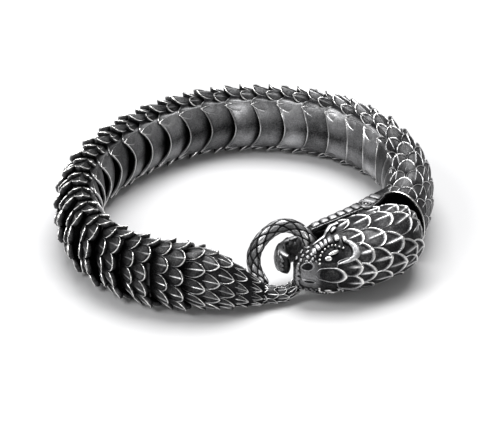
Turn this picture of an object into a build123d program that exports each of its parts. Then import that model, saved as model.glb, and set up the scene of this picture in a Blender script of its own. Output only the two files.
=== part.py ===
from build123d import *
import math
import os

os.makedirs("parts", exist_ok=True)

# Sizes in millimetres. The bracelet lies flat and +Z is up.
# The origin is the middle of its outline, on the surface that it lies on.

# Loop of the snake's centre line, seen from above, from the tail joint clockwise to the nose
LOOP_RADIUS = 35.0
LOOP_PATH = [
    # angle_deg, radius as a share of LOOP_RADIUS
    (252.0, 1.011),
    (231.0, 1.074),
    (209.0, 1.057),
    (185.0, 0.994),
    (160.0, 0.937),
    (130.0, 0.920),
    (100.0, 0.966),
    (70.0, 1.006),
    (45.0, 1.029),
    (20.0, 1.023),
    (-5.0, 1.000),
    (-30.0, 0.994),
    (-55.0, 0.960),
    (-80.0, 0.943),
]

# Cross-section of the snake's body
BODY_HALF_HEIGHT = 7.9
BODY_OUT = 5.5
BODY_IN = 5.0
SCALE_WIDTH = 4.4
EDGE_SCALE_COUNT = 3
BELLY_POINT_COUNT = 3

# Lengths along the path: the head from its joint to the nose, and from the nose to the tail's joint
HEAD_REACH = 57.1
TAIL_REACH = 23.73
LEVER_LENGTH = 28.7

# Links
LINK_COUNT = 22
TIP_OVERHANG = 2.6
SCALE_POINT = 2.1
ROW_SPACING = 3.45
ROW_LIFT = 0.62
ROW_TIP_INSET = 0.3
ROW_VALLEY_INSET = 1.0
ROW_BELLY_INSET = 0.85
RIM_VALLEY_INSET = 0.45
NARROW_INSET = 2.4
NARROW_BELLY_INSET = 1.7
NARROW_BACK = 0.95
BELLY_DIP = 0.2
RIM_WALL = 0.75
CAVITY_FLOOR_BACK = 4.0
PIN_R = 0.6
PIN_GAP = 0.3
PIN_END_INSET = 0.85
EYE_WALL = 0.85
EYE_HALF_HEIGHT = 2.6
TONGUE_ROOT = 0.6
TONGUE_HALF_WIDTH = 1.1

# Collar at the front of the neck
COLLAR_BACK = 1.8
COLLAR_WALL = 1.0
COLLAR_DEPTH = 3.2
COLLAR_LIP = 0.9
NECK_ROW_COUNT = 7
LAST_ROW_BACK = 2.2

# Lower jaw: a channel with a rail along its top and bottom edge
JAW_DEPTH = 1.6 * BODY_IN
RAIL_HALF_HEIGHT = 0.861 * BODY_HALF_HEIGHT
RAIL_WALL = 1.0
RAIL_ROUND = 1.1
RAIL_BLOCK_PITCH = 2.4
RAIL_BLOCK_RELIEF = 0.35
RAIL_GROOVE = 0.6

# Upper head lever
HEAD_OUT = 1.71 * BODY_OUT
HEAD_HALF_HEIGHT = 0.93 * BODY_HALF_HEIGHT
HEAD_FLOOR_GAP = 0.1
EAR_GAP = 0.4
EAR_R = 1.3
LEVER_ROW_COUNT = 6
LEVER_ROW_PITCH = 0.108 * LEVER_LENGTH
LEVER_POINT = 1.7
LEVER_ROW_LIFT = 0.6
LEVER_VALLEY_INSET = 0.3
LEVER_SWEEP = 2.8
SNOUT_INSET = 0.25
MOUTH_GAP = 0.45

# Rivet of the head's hinge
RIVET_BACK = 0.784 * LEVER_LENGTH
RIVET_OUT = -0.525 * JAW_DEPTH
RIVET_R = 0.7
RIVET_RUNNING_GAP = 0.05
RIVET_HEAD_R = 1.0
RIVET_HEAD_T = 0.45
RIVET_HEAD_GAP = 0.03

# Cord-like end of the tail, and the hook that it goes round
RING_R = 1.4
RISING_RING_COUNT = 8
RING_RELIEF = 0.12
HOOK_HALF_WIDTH = 1.4

EYE_R_IN = PIN_R + PIN_GAP
EYE_R_OUT = EYE_R_IN + EYE_WALL


def polar(angle_deg, radius):
    a = math.radians(angle_deg)
    return Vector(radius * math.cos(a), radius * math.sin(a), 0)


LOOP = Spline(*[polar(a, r * LOOP_RADIUS) for a, r in LOOP_PATH], periodic=True)

# The links share out what the head and the tail leave of the loop
TAIL_JOINT_AT = 0.011 * LOOP.length
LINK_PITCH = (LOOP.length - HEAD_REACH - TAIL_REACH) / LINK_COUNT
NECK_JOINT_S = TAIL_JOINT_AT + LINK_COUNT * LINK_PITCH
NOSE_S = NECK_JOINT_S + HEAD_REACH
COLLAR_AT = HEAD_REACH - LEVER_LENGTH - COLLAR_BACK
RIVET_AT = HEAD_REACH - RIVET_BACK
BORE_LENGTH = 3 * BODY_HALF_HEIGHT


def path_frame(s):
    s = s % LOOP.length
    p = LOOP.position_at(s, position_mode=PositionMode.LENGTH)
    t = LOOP.tangent_at(s, position_mode=PositionMode.LENGTH)
    return p, t, Vector(-t.Y, t.X, 0)


def on_path(s, out, z):
    p, t, n = path_frame(s)
    return p + n * out + Vector(0, 0, z)


# Quarter and half arcs of the body section, used to space scales evenly around it
def arc_table(radius, height, steps=90):
    rows = [(0.0, 0.0)]
    for i in range(steps):
        a0 = math.pi / 2 * i / steps
        a1 = math.pi / 2 * (i + 1) / steps
        dx = radius * (math.cos(a1) - math.cos(a0))
        dz = height * (math.sin(a1) - math.sin(a0))
        rows.append((a1, rows[-1][1] + math.hypot(dx, dz)))
    return rows


OUT_ARC = arc_table(BODY_OUT, BODY_HALF_HEIGHT)
IN_ARC = arc_table(BODY_IN, BODY_HALF_HEIGHT)
OUT_LENGTH = OUT_ARC[-1][1]
HALF_LENGTH = OUT_LENGTH + IN_ARC[-1][1]


def lookup(table, value, key, result):
    for lo, hi in zip(table, table[1:]):
        if value <= hi[key]:
            f = (value - lo[key]) / (hi[key] - lo[key])
            return lo[result] + f * (hi[result] - lo[result])
    return table[-1][result]


def section_angle(w):
    side = -1.0 if w < 0 else 1.0
    w = abs(w)
    if w <= OUT_LENGTH:
        return side * lookup(OUT_ARC, w, 1, 0)
    return side * (math.pi - lookup(IN_ARC, HALF_LENGTH - w, 1, 0))


# Points around the section: four to a scale on the back, a few on the belly
def around_points():
    pts = []
    n = 4 * EDGE_SCALE_COUNT
    for i in range(-n, n + 1):
        w = i * SCALE_WIDTH / 4
        pts.append((i / 4, section_angle(w), abs(w)))
    edge = EDGE_SCALE_COUNT * SCALE_WIDTH
    step = 2 * (HALF_LENGTH - edge) / (BELLY_POINT_COUNT + 1)
    for i in range(1, BELLY_POINT_COUNT + 1):
        w = edge + i * step
        if w > HALF_LENGTH:
            w = w - 2 * HALF_LENGTH
        pts.append((w / SCALE_WIDTH, section_angle(w), abs(w)))
    return pts


AROUND = around_points()


# How far a row's edge reaches at one place: 1 at a scale's tip, 0 between scales
def tip_share(phase, shift):
    q = (phase + shift) % 1.0
    q = 2 * min(q, 1.0 - q)
    return 1.0 - q ** 1.6


def belly_share(w, last_tip):
    start = last_tip * SCALE_WIDTH
    f = max(0.0, (w - start) / (HALF_LENGTH - start))
    return math.sin(f * math.pi / 2)


# One ring of points: (tip, valley, belly) values of the station and of the inset
def ring_values(stations, insets, shift, last_tip):
    rows = []
    for phase, angle, w in AROUND:
        share = tip_share(phase, shift)
        if w > last_tip * SCALE_WIDTH:
            share = 1.0
        b = belly_share(w, last_tip)
        x = stations[1] + share * (stations[0] - stations[1])
        d = insets[1] + share * (insets[0] - insets[1])
        x = x + b * (stations[2] - x)
        d = d + b * (insets[2] - d)
        rows.append((x, d, angle))
    return rows


def section_point(angle, inset, out_r=BODY_OUT, in_r=BODY_IN, half_h=BODY_HALF_HEIGHT, height_share=1.0):
    r = out_r if math.cos(angle) > 0 else in_r
    return (r - inset) * math.cos(angle), (half_h - inset * height_share) * math.sin(angle)


def triangle(a, b, c):
    return Face(Wire.make_polygon([a, b, c], close=True))


def band(ring_a, ring_b):
    faces = []
    n = len(ring_a)
    for i in range(n):
        j = (i + 1) % n
        a0, a1, b0, b1 = ring_a[i], ring_a[j], ring_b[i], ring_b[j]
        if (a0 - b1).length <= (a1 - b0).length:
            faces.append(triangle(a0, b0, b1))
            faces.append(triangle(a0, b1, a1))
        else:
            faces.append(triangle(a0, b0, a1))
            faces.append(triangle(a1, b0, b1))
    return faces


def centre_of(ring):
    total = Vector(0, 0, 0)
    for p in ring:
        total = total + p
    return total * (1.0 / len(ring))


def fan(ring):
    c = centre_of(ring)
    return [triangle(ring[i], ring[(i + 1) % len(ring)], c) for i in range(len(ring))]


def closed_solid(rings, flat_start=False, flat_end=False):
    faces = []
    for ring_a, ring_b in zip(rings, rings[1:]):
        faces.extend(band(ring_a, ring_b))
    for ring, flat in ((rings[0], flat_start), (rings[-1], flat_end)):
        if flat:
            faces.append(Face(Wire.make_polygon(ring, close=True)))
        else:
            faces.extend(fan(ring))
    solid = Solid(Shell(faces))
    return solid


def prism(points, z0, z1):
    face = Face(Wire.make_polygon([Vector(x, y, z0) for x, y in points], close=True))
    return extrude(face, z1 - z0, dir=(0, 0, 1))


def round_points(x, y, r, count):
    return [(x + r * math.cos(2 * math.pi * i / count), y + r * math.sin(2 * math.pi * i / count))
            for i in range(count)]


# Hinge tongue: an eye standing on the narrow end, wrapped round the next piece's pin
def tongue(x_eye, x_root, half_width):
    body = prism([(x_eye, -half_width), (x_root, -half_width), (x_root, half_width), (x_eye, half_width)],
                 -EYE_HALF_HEIGHT, EYE_HALF_HEIGHT)
    eye = prism(round_points(x_eye, 0, EYE_R_OUT, 8), -EYE_HALF_HEIGHT, EYE_HALF_HEIGHT)
    bore = prism(round_points(x_eye, 0, EYE_R_IN, 8), -EYE_HALF_HEIGHT - 1, EYE_HALF_HEIGHT + 1)
    return body + eye - bore


def hinge_pin(x):
    h = BODY_HALF_HEIGHT - PIN_END_INSET
    return prism(round_points(x, 0, PIN_R, 6), -h, h)


# One link, local frame: x runs headward from its own pin, y outward, z up
NARROW_X = LINK_PITCH - NARROW_BACK
ROW1_TIP_X = ROW_SPACING - TIP_OVERHANG
ROW1_VALLEY_X = ROW1_TIP_X + SCALE_POINT
RIM_VALLEY_X = SCALE_POINT - TIP_OVERHANG
FLOOR_X = LINK_PITCH - CAVITY_FLOOR_BACK
RIM_X = (-TIP_OVERHANG, RIM_VALLEY_X, -BELLY_DIP)
RIM_INSETS = (0.0, RIM_VALLEY_INSET, 0.0)
RIM_INNER = (RIM_WALL, RIM_VALLEY_INSET + RIM_WALL, RIM_WALL)
FLOOR_INSETS = (0.85 * NARROW_INSET, 0.85 * NARROW_INSET, NARROW_BELLY_INSET)
NARROW_INSETS = (NARROW_INSET, NARROW_INSET, NARROW_BELLY_INSET)
ROW_HIGH = (ROW_TIP_INSET, ROW_VALLEY_INSET, ROW_BELLY_INSET)
ROW_LOW = (ROW_TIP_INSET + ROW_LIFT, ROW_VALLEY_INSET + 0.65 * ROW_LIFT, 0.7 * ROW_BELLY_INSET)

LINK_RINGS = [
    # stations (tip, valley, belly), insets (tip, valley, belly),
    # phase shift, last tip, height share of inset
    ((NARROW_X, NARROW_X, NARROW_X), NARROW_INSETS, 0.0, 3.0, 0.62),
    ((ROW1_TIP_X, ROW1_VALLEY_X, 0.98 * ROW1_VALLEY_X), ROW_HIGH, 0.0, 3.0, 0.85),
    ((ROW1_TIP_X, ROW1_VALLEY_X, 0.68 * ROW1_VALLEY_X), ROW_LOW, 0.0, 3.0, 0.70),
    (RIM_X, RIM_INSETS, 0.5, 2.5, 1.0),
    (RIM_X, RIM_INNER, 0.5, 2.5, 1.0),
    ((FLOOR_X, FLOOR_X, 1.09 * FLOOR_X), FLOOR_INSETS, 0.5, 2.5, 0.62),
]


def link_rings():
    rings = []
    for stations, insets, shift, last_tip, height_share in LINK_RINGS:
        ring = []
        for x, d, angle in ring_values(stations, insets, shift, last_tip):
            y, z = section_point(angle, d, height_share=height_share)
            ring.append(Vector(x, y, z))
        rings.append(ring)
    return rings


def make_link():
    cup = closed_solid(link_rings(), flat_start=True)
    return cup + hinge_pin(0.0) + tongue(LINK_PITCH, NARROW_X - TONGUE_ROOT, TONGUE_HALF_WIDTH)


def joint_point(k):
    return on_path(TAIL_JOINT_AT + k * LINK_PITCH, 0, BODY_HALF_HEIGHT)


def link_location(k):
    a = joint_point(k)
    b = joint_point(k + 1)
    return Plane(origin=a, x_dir=b - a, z_dir=(0, 0, 1)).location


# Neck housing: a sleeve of scale rows ending in the collar
NECK_PROFILE = [
    # shares: s of COLLAR_AT, out_r of BODY_OUT, in_r of BODY_IN
    (-0.113, 1.000, 1.000),
    (0.301, 1.018, 1.040),
    (0.677, 1.055, 1.120),
    (1.000, 1.109, 1.240),
]


def neck_size(s):
    share = max(NECK_PROFILE[0][0], min(NECK_PROFILE[-1][0], s / COLLAR_AT))
    out_r = BODY_OUT * lookup(NECK_PROFILE, share, 0, 1)
    in_r = BODY_IN * lookup(NECK_PROFILE, share, 0, 2)
    return out_r, in_r, BODY_HALF_HEIGHT


def neck_ring(stations, insets, shift, last_tip, height_share=1.0):
    ring = []
    for x, d, angle in ring_values(stations, insets, shift, last_tip):
        out_r, in_r, half_h = neck_size(x)
        y, z = section_point(angle, d, out_r, in_r, half_h, height_share)
        ring.append(on_path(NECK_JOINT_S + x, y, BODY_HALF_HEIGHT + z))
    return ring


def plain_neck_ring(s, inset):
    return neck_ring((s, s, s), (inset, inset, inset), 0.0, 3.0)


def make_neck():
    rings = []
    floor_x = (1.26 * FLOOR_X, 1.26 * FLOOR_X, 1.35 * FLOOR_X)
    rings.append(neck_ring(floor_x, FLOOR_INSETS, 0.5, 2.5, 0.62))
    rings.append(neck_ring(RIM_X, RIM_INNER, 0.5, 2.5))
    rings.append(neck_ring(RIM_X, RIM_INSETS, 0.5, 2.5))
    pitch = (COLLAR_AT + TIP_OVERHANG - LAST_ROW_BACK) / NECK_ROW_COUNT
    low_insets = (ROW_TIP_INSET + 0.85 * ROW_LIFT, 0.95 * ROW_VALLEY_INSET, ROW_TIP_INSET)
    high_insets = (0.67 * ROW_TIP_INSET, 0.7 * ROW_VALLEY_INSET, ROW_TIP_INSET)
    for i in range(1, NECK_ROW_COUNT):
        tip = i * pitch - TIP_OVERHANG
        shift = 0.5 * ((i + 1) % 2)
        last = 3.0 if i % 2 else 2.5
        low = (tip, tip + SCALE_POINT, tip + 0.76 * SCALE_POINT)
        high = (tip, tip + SCALE_POINT, tip + 1.14 * SCALE_POINT)
        rings.append(neck_ring(low, low_insets, shift, last))
        rings.append(neck_ring(high, high_insets, shift, last))
    rings.append(plain_neck_ring(COLLAR_AT - COLLAR_LIP, 0.35 * COLLAR_WALL))
    rings.append(plain_neck_ring(COLLAR_AT, 0.0))
    rings.append(plain_neck_ring(COLLAR_AT, COLLAR_WALL))
    rings.append(plain_neck_ring(COLLAR_AT - COLLAR_DEPTH, 1.3 * COLLAR_WALL))
    return closed_solid(rings)


# Lower jaw: stations along the path, a channel open towards the lever
JAW_STATIONS = [
    # shares: back from the nose of LEVER_LENGTH, wrist_face, plate_inside and rail_edge of JAW_DEPTH,
    # rail_half_height of RAIL_HALF_HEIGHT
    (1.223, -0.575, -0.450, -0.300, 0.912),
    (1.049, -0.762, -0.625, -0.375, 0.985),
    (0.909, -0.863, -0.750, -0.362, 1.000),
    (0.763, -0.900, -0.787, -0.375, 1.000),
    (0.714, -0.912, -0.800, -0.512, 1.000),
    (0.526, -0.950, -0.838, -0.588, 0.971),
    (0.352, -0.975, -0.863, -0.625, 0.897),
    (0.230, -1.000, -0.887, -0.675, 0.794),
]
JAW_START = HEAD_REACH - JAW_STATIONS[0][0] * LEVER_LENGTH
JAW_END = HEAD_REACH - JAW_STATIONS[-1][0] * LEVER_LENGTH
BLOCKS_START = RIVET_AT - 2.5 * RAIL_BLOCK_PITCH


# Row of a head table at a station: the table runs from the collar to the nose
def head_share(table, s, column):
    back = (HEAD_REACH - s) / LEVER_LENGTH
    back = max(table[-1][0], min(table[0][0], back))
    for rear, front in zip(table, table[1:]):
        if back >= front[0]:
            f = (rear[0] - back) / (rear[0] - front[0])
            return rear[column] + f * (front[column] - rear[column])
    return table[-1][column]


def jaw_size(s):
    wrist, inside, edge = [JAW_DEPTH * head_share(JAW_STATIONS, s, c) for c in (1, 2, 3)]
    return wrist, inside, edge, RAIL_HALF_HEIGHT * head_share(JAW_STATIONS, s, 4)


def jaw_ring(s, relief):
    wrist, inside, edge, rail = jaw_size(s)
    inner = rail - RAIL_WALL
    top = rail + relief
    face = wrist - relief * 0.6
    corner = wrist + RAIL_ROUND
    bevel = wrist + 0.27 * RAIL_ROUND
    side = top - 0.82 * RAIL_ROUND
    flank = top - 2.18 * RAIL_ROUND
    shape = [
        (edge, top), (corner, top), (bevel, side), (face, flank),
        (face, -flank), (bevel, -side), (corner, -top), (edge, -top),
        (edge, -inner), (inside, -inner), (inside, inner), (edge, inner),
    ]
    return [on_path(NECK_JOINT_S + s, y, BODY_HALF_HEIGHT + z) for y, z in shape]


def make_jaw():
    rings = []
    rings.append(jaw_ring(JAW_START, 0.0))
    s = BLOCKS_START
    rings.append(jaw_ring(s, 0.0))
    while s + RAIL_BLOCK_PITCH < JAW_END:
        if abs(s + RAIL_BLOCK_PITCH / 2 - RIVET_AT) > RAIL_BLOCK_PITCH / 2:
            rings.append(jaw_ring(s + RAIL_GROOVE / 2, RAIL_BLOCK_RELIEF))
            rings.append(jaw_ring(s + RAIL_BLOCK_PITCH - RAIL_GROOVE / 2, RAIL_BLOCK_RELIEF))
        rings.append(jaw_ring(s + RAIL_BLOCK_PITCH, 0.0))
        s = s + RAIL_BLOCK_PITCH
    rings.append(jaw_ring(JAW_END, 0.0))
    return closed_solid(rings, flat_start=True, flat_end=True)


# Hook: a bar curling outward from the front of the lower jaw
HOOK_PATH = [
    # shares: back from the nose of LEVER_LENGTH, out of JAW_DEPTH, half_width of HOOK_HALF_WIDTH,
    # half_height of BODY_HALF_HEIGHT
    (0.386, -0.725, 0.857, 0.608),
    (0.234, -0.887, 1.000, 0.506),
    (0.107, -0.964, 0.929, 0.405),
    (0.006, -0.882, 0.857, 0.354),
    (-0.049, -0.645, 0.821, 0.329),
    (-0.040, -0.377, 0.786, 0.316),
    (-0.003, -0.224, 0.643, 0.278),
]


# Position near the nose: back from it along the path, out from the path, and height
def near_nose(back, out, height):
    return on_path(NOSE_S - back * LEVER_LENGTH, out * JAW_DEPTH, height * BODY_HALF_HEIGHT)


def hook_rows():
    rows = []
    for back, out, width, height in HOOK_PATH:
        rows.append((near_nose(back, out, 1.0), width * HOOK_HALF_WIDTH, height * BODY_HALF_HEIGHT))
    return rows


def sweep_rings(rows, count, relief=0.0):
    rings = []
    pts = [point for point, width, height in rows]
    for i, (point, width, height) in enumerate(rows):
        a = pts[max(0, i - 1)]
        b = pts[min(len(pts) - 1, i + 1)]
        t = (b - a).normalized()
        side = Vector(0, 0, 1).cross(t)
        if side.length < 0.2:
            side = Vector(0, 1, 0)
        side = side.normalized()
        up = t.cross(side)
        ring = []
        for k in range(count):
            ang = 2 * math.pi * k / count
            bump = relief if (k + i) % 2 else 0.0
            across = side * ((width + bump) * math.cos(ang))
            ring.append(point + across + up * ((height + bump) * math.sin(ang)))
        rings.append(ring)
    return rings


def make_hook():
    return closed_solid(sweep_rings(hook_rows(), 10), flat_start=True, flat_end=True)


# Upper head lever
LEVER_STATIONS = [
    # shares: back from the nose of LEVER_LENGTH, out of HEAD_OUT,
    # inner of JAW_DEPTH, half_height of HEAD_HALF_HEIGHT
    (1.000, 0.617, 0.075, 0.857),
    (0.892, 0.872, -0.150, 0.952),
    (0.770, 0.979, -0.300, 0.993),
    (0.700, 1.000, -0.412, 1.000),
    (0.491, 0.926, -0.450, 0.993),
    (0.352, 0.798, -0.425, 0.925),
    (0.296, 0.691, -0.325, 0.857),
    (0.247, 0.628, -0.138, 0.857),
    (0.160, 0.500, -0.100, 0.748),
    (0.066, 0.351, -0.075, 0.599),
    (0.000, 0.181, -0.050, 0.395),
]
LEVER_MID_Z = HEAD_HALF_HEIGHT + HEAD_FLOOR_GAP
EAR_HALF_HEIGHT = RAIL_HALF_HEIGHT - RAIL_WALL - EAR_GAP
SNOUT_BACKS = (0.300, 0.213, 0.125, 0.056, 0.017, 0.0)


def lever_size(s):
    out = HEAD_OUT * head_share(LEVER_STATIONS, s, 1)
    inner = JAW_DEPTH * head_share(LEVER_STATIONS, s, 2)
    return out, inner, HEAD_HALF_HEIGHT * head_share(LEVER_STATIONS, s, 3)


def lever_ring(stations, insets, shift, inner_s, sweep=0.0):
    ring = []
    for i in range(25):
        phase = i / 4 - 3
        angle = math.pi / 2 * phase / 3.0
        share = tip_share(phase, shift)
        s = stations[1] + share * (stations[0] - stations[1])
        s = s + sweep * abs(phase / 3) ** 3
        d = insets[1] + share * (insets[0] - insets[1])
        out, inner, half_h = lever_size(s)
        y = inner + (out - inner - d) * math.cos(angle)
        z = (half_h - d) * math.sin(angle)
        ring.append(on_path(NECK_JOINT_S + s, y, LEVER_MID_Z + z))
    s = inner_s + sweep
    out, inner, half_h = lever_size(s)
    for share in (0.5, -0.5):
        ring.append(on_path(NECK_JOINT_S + s, inner - 0.1, LEVER_MID_Z + half_h * share))
    return ring


def make_lever_body():
    rings = []
    first = HEAD_REACH - LEVER_LENGTH
    ear_end = (first, first + LEVER_POINT)
    inner_end = first + 0.6 * LEVER_POINT
    rings.append(lever_ring(ear_end, (0.0, LEVER_VALLEY_INSET), 0.0, inner_end, LEVER_SWEEP))
    low_insets = (LEVER_ROW_LIFT, LEVER_ROW_LIFT + 0.33 * LEVER_VALLEY_INSET)
    for i in range(1, LEVER_ROW_COUNT):
        tip = first + i * LEVER_ROW_PITCH
        shift = 0.5 * (i % 2)
        sweep = LEVER_SWEEP * (1 - i / LEVER_ROW_COUNT)
        foot = tip - 0.02 * LEVER_POINT
        low = (foot, foot + LEVER_POINT)
        high = (tip, tip + LEVER_POINT)
        rings.append(lever_ring(low, low_insets, shift, tip + 0.35 * LEVER_POINT, sweep))
        rings.append(lever_ring(high, (0.0, LEVER_VALLEY_INSET), shift, tip + 0.82 * LEVER_POINT, sweep))
    for back in SNOUT_BACKS:
        s = HEAD_REACH - back * LEVER_LENGTH
        rings.append(lever_ring((s, s), (SNOUT_INSET, SNOUT_INSET), 0.0, s))
    return closed_solid(rings)


# Room for the tail where it rises through the mouth
def mouth_rows():
    return [(point, width + MOUTH_GAP, height + MOUTH_GAP) for point, width, height in curl_rows()[1:9]]


# Ear of the lever round the rivet
EAR_SHAPE = [
    # along the path, outward, as shares of EAR_R
    (-1.0, 0.0), (-0.69, -0.73), (0.0, -1.0), (0.69, -0.73), (1.0, 0.0), (2.3, 2.6), (-0.46, 3.0),
]


def make_lever():
    body = make_lever_body()
    p, t, n = path_frame(NECK_JOINT_S + RIVET_AT)
    plane = Plane(origin=p + n * RIVET_OUT + Vector(0, 0, BODY_HALF_HEIGHT), x_dir=t, z_dir=(0, 0, 1))
    ear = [(x * EAR_R, y * EAR_R) for x, y in EAR_SHAPE]
    block = plane.location * prism(ear, -EAR_HALF_HEIGHT, EAR_HALF_HEIGHT)
    bore = plane.location * Cylinder(RIVET_R + RIVET_RUNNING_GAP, BORE_LENGTH)
    mouth = closed_solid(sweep_rings(mouth_rows(), 8), flat_start=True, flat_end=True)
    return body + block - bore - mouth, plane


def make_rivet(plane):
    rail = jaw_size(RIVET_AT)[3]
    head_z = rail + RIVET_HEAD_T / 2 + RIVET_HEAD_GAP
    top = Pos(0, 0, head_z) * Cylinder(RIVET_HEAD_R, RIVET_HEAD_T)
    low = Pos(0, 0, -head_z) * Cylinder(RIVET_HEAD_R, RIVET_HEAD_T)
    core = Cylinder(RIVET_R, 2 * head_z)
    return plane.location * (core + top + low)


def make_housing(plane):
    neck = make_neck()
    jaw = make_jaw()
    body = neck + jaw + make_hook()
    pin = link_pin_in_neck()
    bore = plane.location * Cylinder(RIVET_R + RIVET_RUNNING_GAP, BORE_LENGTH)
    return body + pin - bore


def link_pin_in_neck():
    loc = link_location(LINK_COUNT)
    return loc * hinge_pin(0.0)


# Tail: a short scaled body that thins into a cord-like ring
TAIL_ROWS = [
    # shares: tips ahead of the joint of TAIL_REACH, out_r of BODY_OUT, in_r of BODY_IN,
    # half_height of BODY_HALF_HEIGHT, mid_out of BODY_OUT, mid_z of BODY_HALF_HEIGHT
    (0.219, 0.982, 1.000, 0.949, 0.036, 0.962),
    (0.371, 0.909, 0.920, 0.823, 0.055, 0.848),
    (0.506, 0.782, 0.800, 0.658, 0.018, 0.684),
    (0.624, 0.618, 0.640, 0.494, -0.018, 0.519),
    (0.716, 0.473, 0.500, 0.367, -0.018, 0.392),
]
TAIL_CORE = (0.801, 0.327, 0.360, 0.241, -0.036, 0.278)
RING_PATH = [
    # shares: back from the nose of LEVER_LENGTH, out of JAW_DEPTH,
    # height of BODY_HALF_HEIGHT, radius of RING_R
    (-0.224, -0.017, 0.354, 1.500),
    (-0.135, -0.020, 0.291, 1.357),
    (-0.050, -0.050, 0.278, 1.179),
    (0.021, -0.108, 0.392, 1.036),
    (0.091, -0.210, 0.595, 1.000),
    (0.163, -0.261, 0.810, 1.000),
    (0.195, -0.380, 1.089, 1.000),
    (0.191, -0.536, 1.380, 1.000),
    (0.146, -0.717, 1.620, 1.000),
    (0.069, -0.872, 1.759, 1.000),
    (-0.025, -0.961, 1.759, 1.000),
    (-0.127, -0.961, 1.595, 1.000),
    (-0.214, -0.898, 1.316, 1.000),
    (-0.256, -0.780, 1.013, 1.000),
    (-0.253, -0.602, 0.747, 0.964),
    (-0.228, -0.399, 0.595, 0.929),
    (-0.199, -0.166, 0.494, 0.786),
]


def curl_rows():
    return [(near_nose(back, out, z), r * RING_R, r * RING_R) for back, out, z, r in RING_PATH]


def tail_ring(row, tip_s, depth, insets, shift, last_tip):
    ring = []
    ahead, out_r, in_r, half_h, mid_out, mid_z = row
    for x, d, angle in ring_values((tip_s, tip_s + depth, tip_s + 0.5 * depth), insets, shift, last_tip):
        y, z = section_point(angle, d, out_r * BODY_OUT, in_r * BODY_IN, half_h * BODY_HALF_HEIGHT)
        ring.append(on_path(TAIL_JOINT_AT + x, mid_out * BODY_OUT + y, mid_z * BODY_HALF_HEIGHT + z))
    return ring


def make_tail_body():
    rings = []
    narrow = -NARROW_BACK
    start = ring_values((narrow, narrow, narrow), NARROW_INSETS, 0.0, 3.0)
    ring = []
    for x, d, angle in start:
        y, z = section_point(angle, d)
        ring.append(on_path(TAIL_JOINT_AT + x, y, BODY_HALF_HEIGHT + z))
    rings.append(ring)
    for i, row in enumerate(TAIL_ROWS):
        scale = row[3]
        tip = -row[0] * TAIL_REACH
        depth = SCALE_POINT * scale
        shift = 0.5 * (i % 2)
        last = 2.5 if i % 2 else 3.0
        valley = 0.5 * ROW_VALLEY_INSET * scale
        step = ROW_LIFT * (scale + 0.08)
        high = (0.0, valley, 0.1 * ROW_VALLEY_INSET)
        low = (step, step + 0.6 * valley, ROW_TIP_INSET)
        rings.append(tail_ring(row, tip, depth, high, shift, last))
        rings.append(tail_ring(row, tip - 0.05 * ROW_LIFT, depth, low, shift, last))
    rings.append(tail_ring(TAIL_CORE, -TAIL_CORE[0] * TAIL_REACH, 0.0, (0.0, 0.0, 0.0), 0.0, 3.0))
    return closed_solid(rings)


def make_tail():
    body = make_tail_body()
    rings = sweep_rings(curl_rows(), 8, RING_RELIEF)
    rising = closed_solid(rings[:RISING_RING_COUNT + 1], flat_start=True, flat_end=True)
    falling = closed_solid(rings[RISING_RING_COUNT:], flat_start=True, flat_end=True)
    a = joint_point(0)
    b = on_path(TAIL_JOINT_AT - LINK_PITCH, 0, BODY_HALF_HEIGHT)
    loc = Plane(origin=a, x_dir=a - b, z_dir=(0, 0, 1)).location
    return body + rising + falling + loc * tongue(0.0, -NARROW_BACK - TONGUE_ROOT, TONGUE_HALF_WIDTH)


LINK = make_link()
nodes = {}
for k in range(LINK_COUNT):
    nodes["link_%02d" % (k + 1)] = link_location(k) * LINK
lever, rivet_plane = make_lever()
nodes["head_lever"] = lever
nodes["head_rivet"] = make_rivet(rivet_plane)
nodes["neck_and_jaw"] = make_housing(rivet_plane)
nodes["tail_and_ring"] = make_tail()

# Move the whole bracelet so that the middle of its underside is the origin
boxes = [shape.bounding_box() for shape in nodes.values()]
mid_x = (min(b.min.X for b in boxes) + max(b.max.X for b in boxes)) / 2
mid_y = (min(b.min.Y for b in boxes) + max(b.max.Y for b in boxes)) / 2
to_origin = Pos(-mid_x, -mid_y, -min(b.min.Z for b in boxes))

for name, shape in nodes.items():
    export_step(to_origin * shape, "parts/%s.step" % name)
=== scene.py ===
import math
import bpy
import bmesh
import numpy as np
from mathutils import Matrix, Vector


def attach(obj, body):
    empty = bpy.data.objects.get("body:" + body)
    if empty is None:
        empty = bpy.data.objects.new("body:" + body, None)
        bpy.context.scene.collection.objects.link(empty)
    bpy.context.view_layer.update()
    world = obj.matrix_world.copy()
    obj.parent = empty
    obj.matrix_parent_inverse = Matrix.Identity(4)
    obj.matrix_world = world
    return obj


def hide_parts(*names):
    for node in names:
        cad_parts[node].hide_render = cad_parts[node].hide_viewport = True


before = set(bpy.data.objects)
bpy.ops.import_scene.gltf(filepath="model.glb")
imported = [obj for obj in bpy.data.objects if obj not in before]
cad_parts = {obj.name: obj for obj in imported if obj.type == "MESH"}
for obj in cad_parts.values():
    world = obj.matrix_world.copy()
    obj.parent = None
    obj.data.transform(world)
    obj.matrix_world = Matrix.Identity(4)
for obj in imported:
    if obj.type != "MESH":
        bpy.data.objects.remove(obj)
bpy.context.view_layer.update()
SEED = 7
rng = np.random.default_rng(SEED)

# Lengths are in millimetres in these functions and turn into metres when a mesh is made
MM = 0.001
FULL_TURN = 2 * math.pi

# Where the origin of the part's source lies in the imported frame
SHIFT = np.array([-0.1272, -0.3567, -0.0241])

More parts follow.
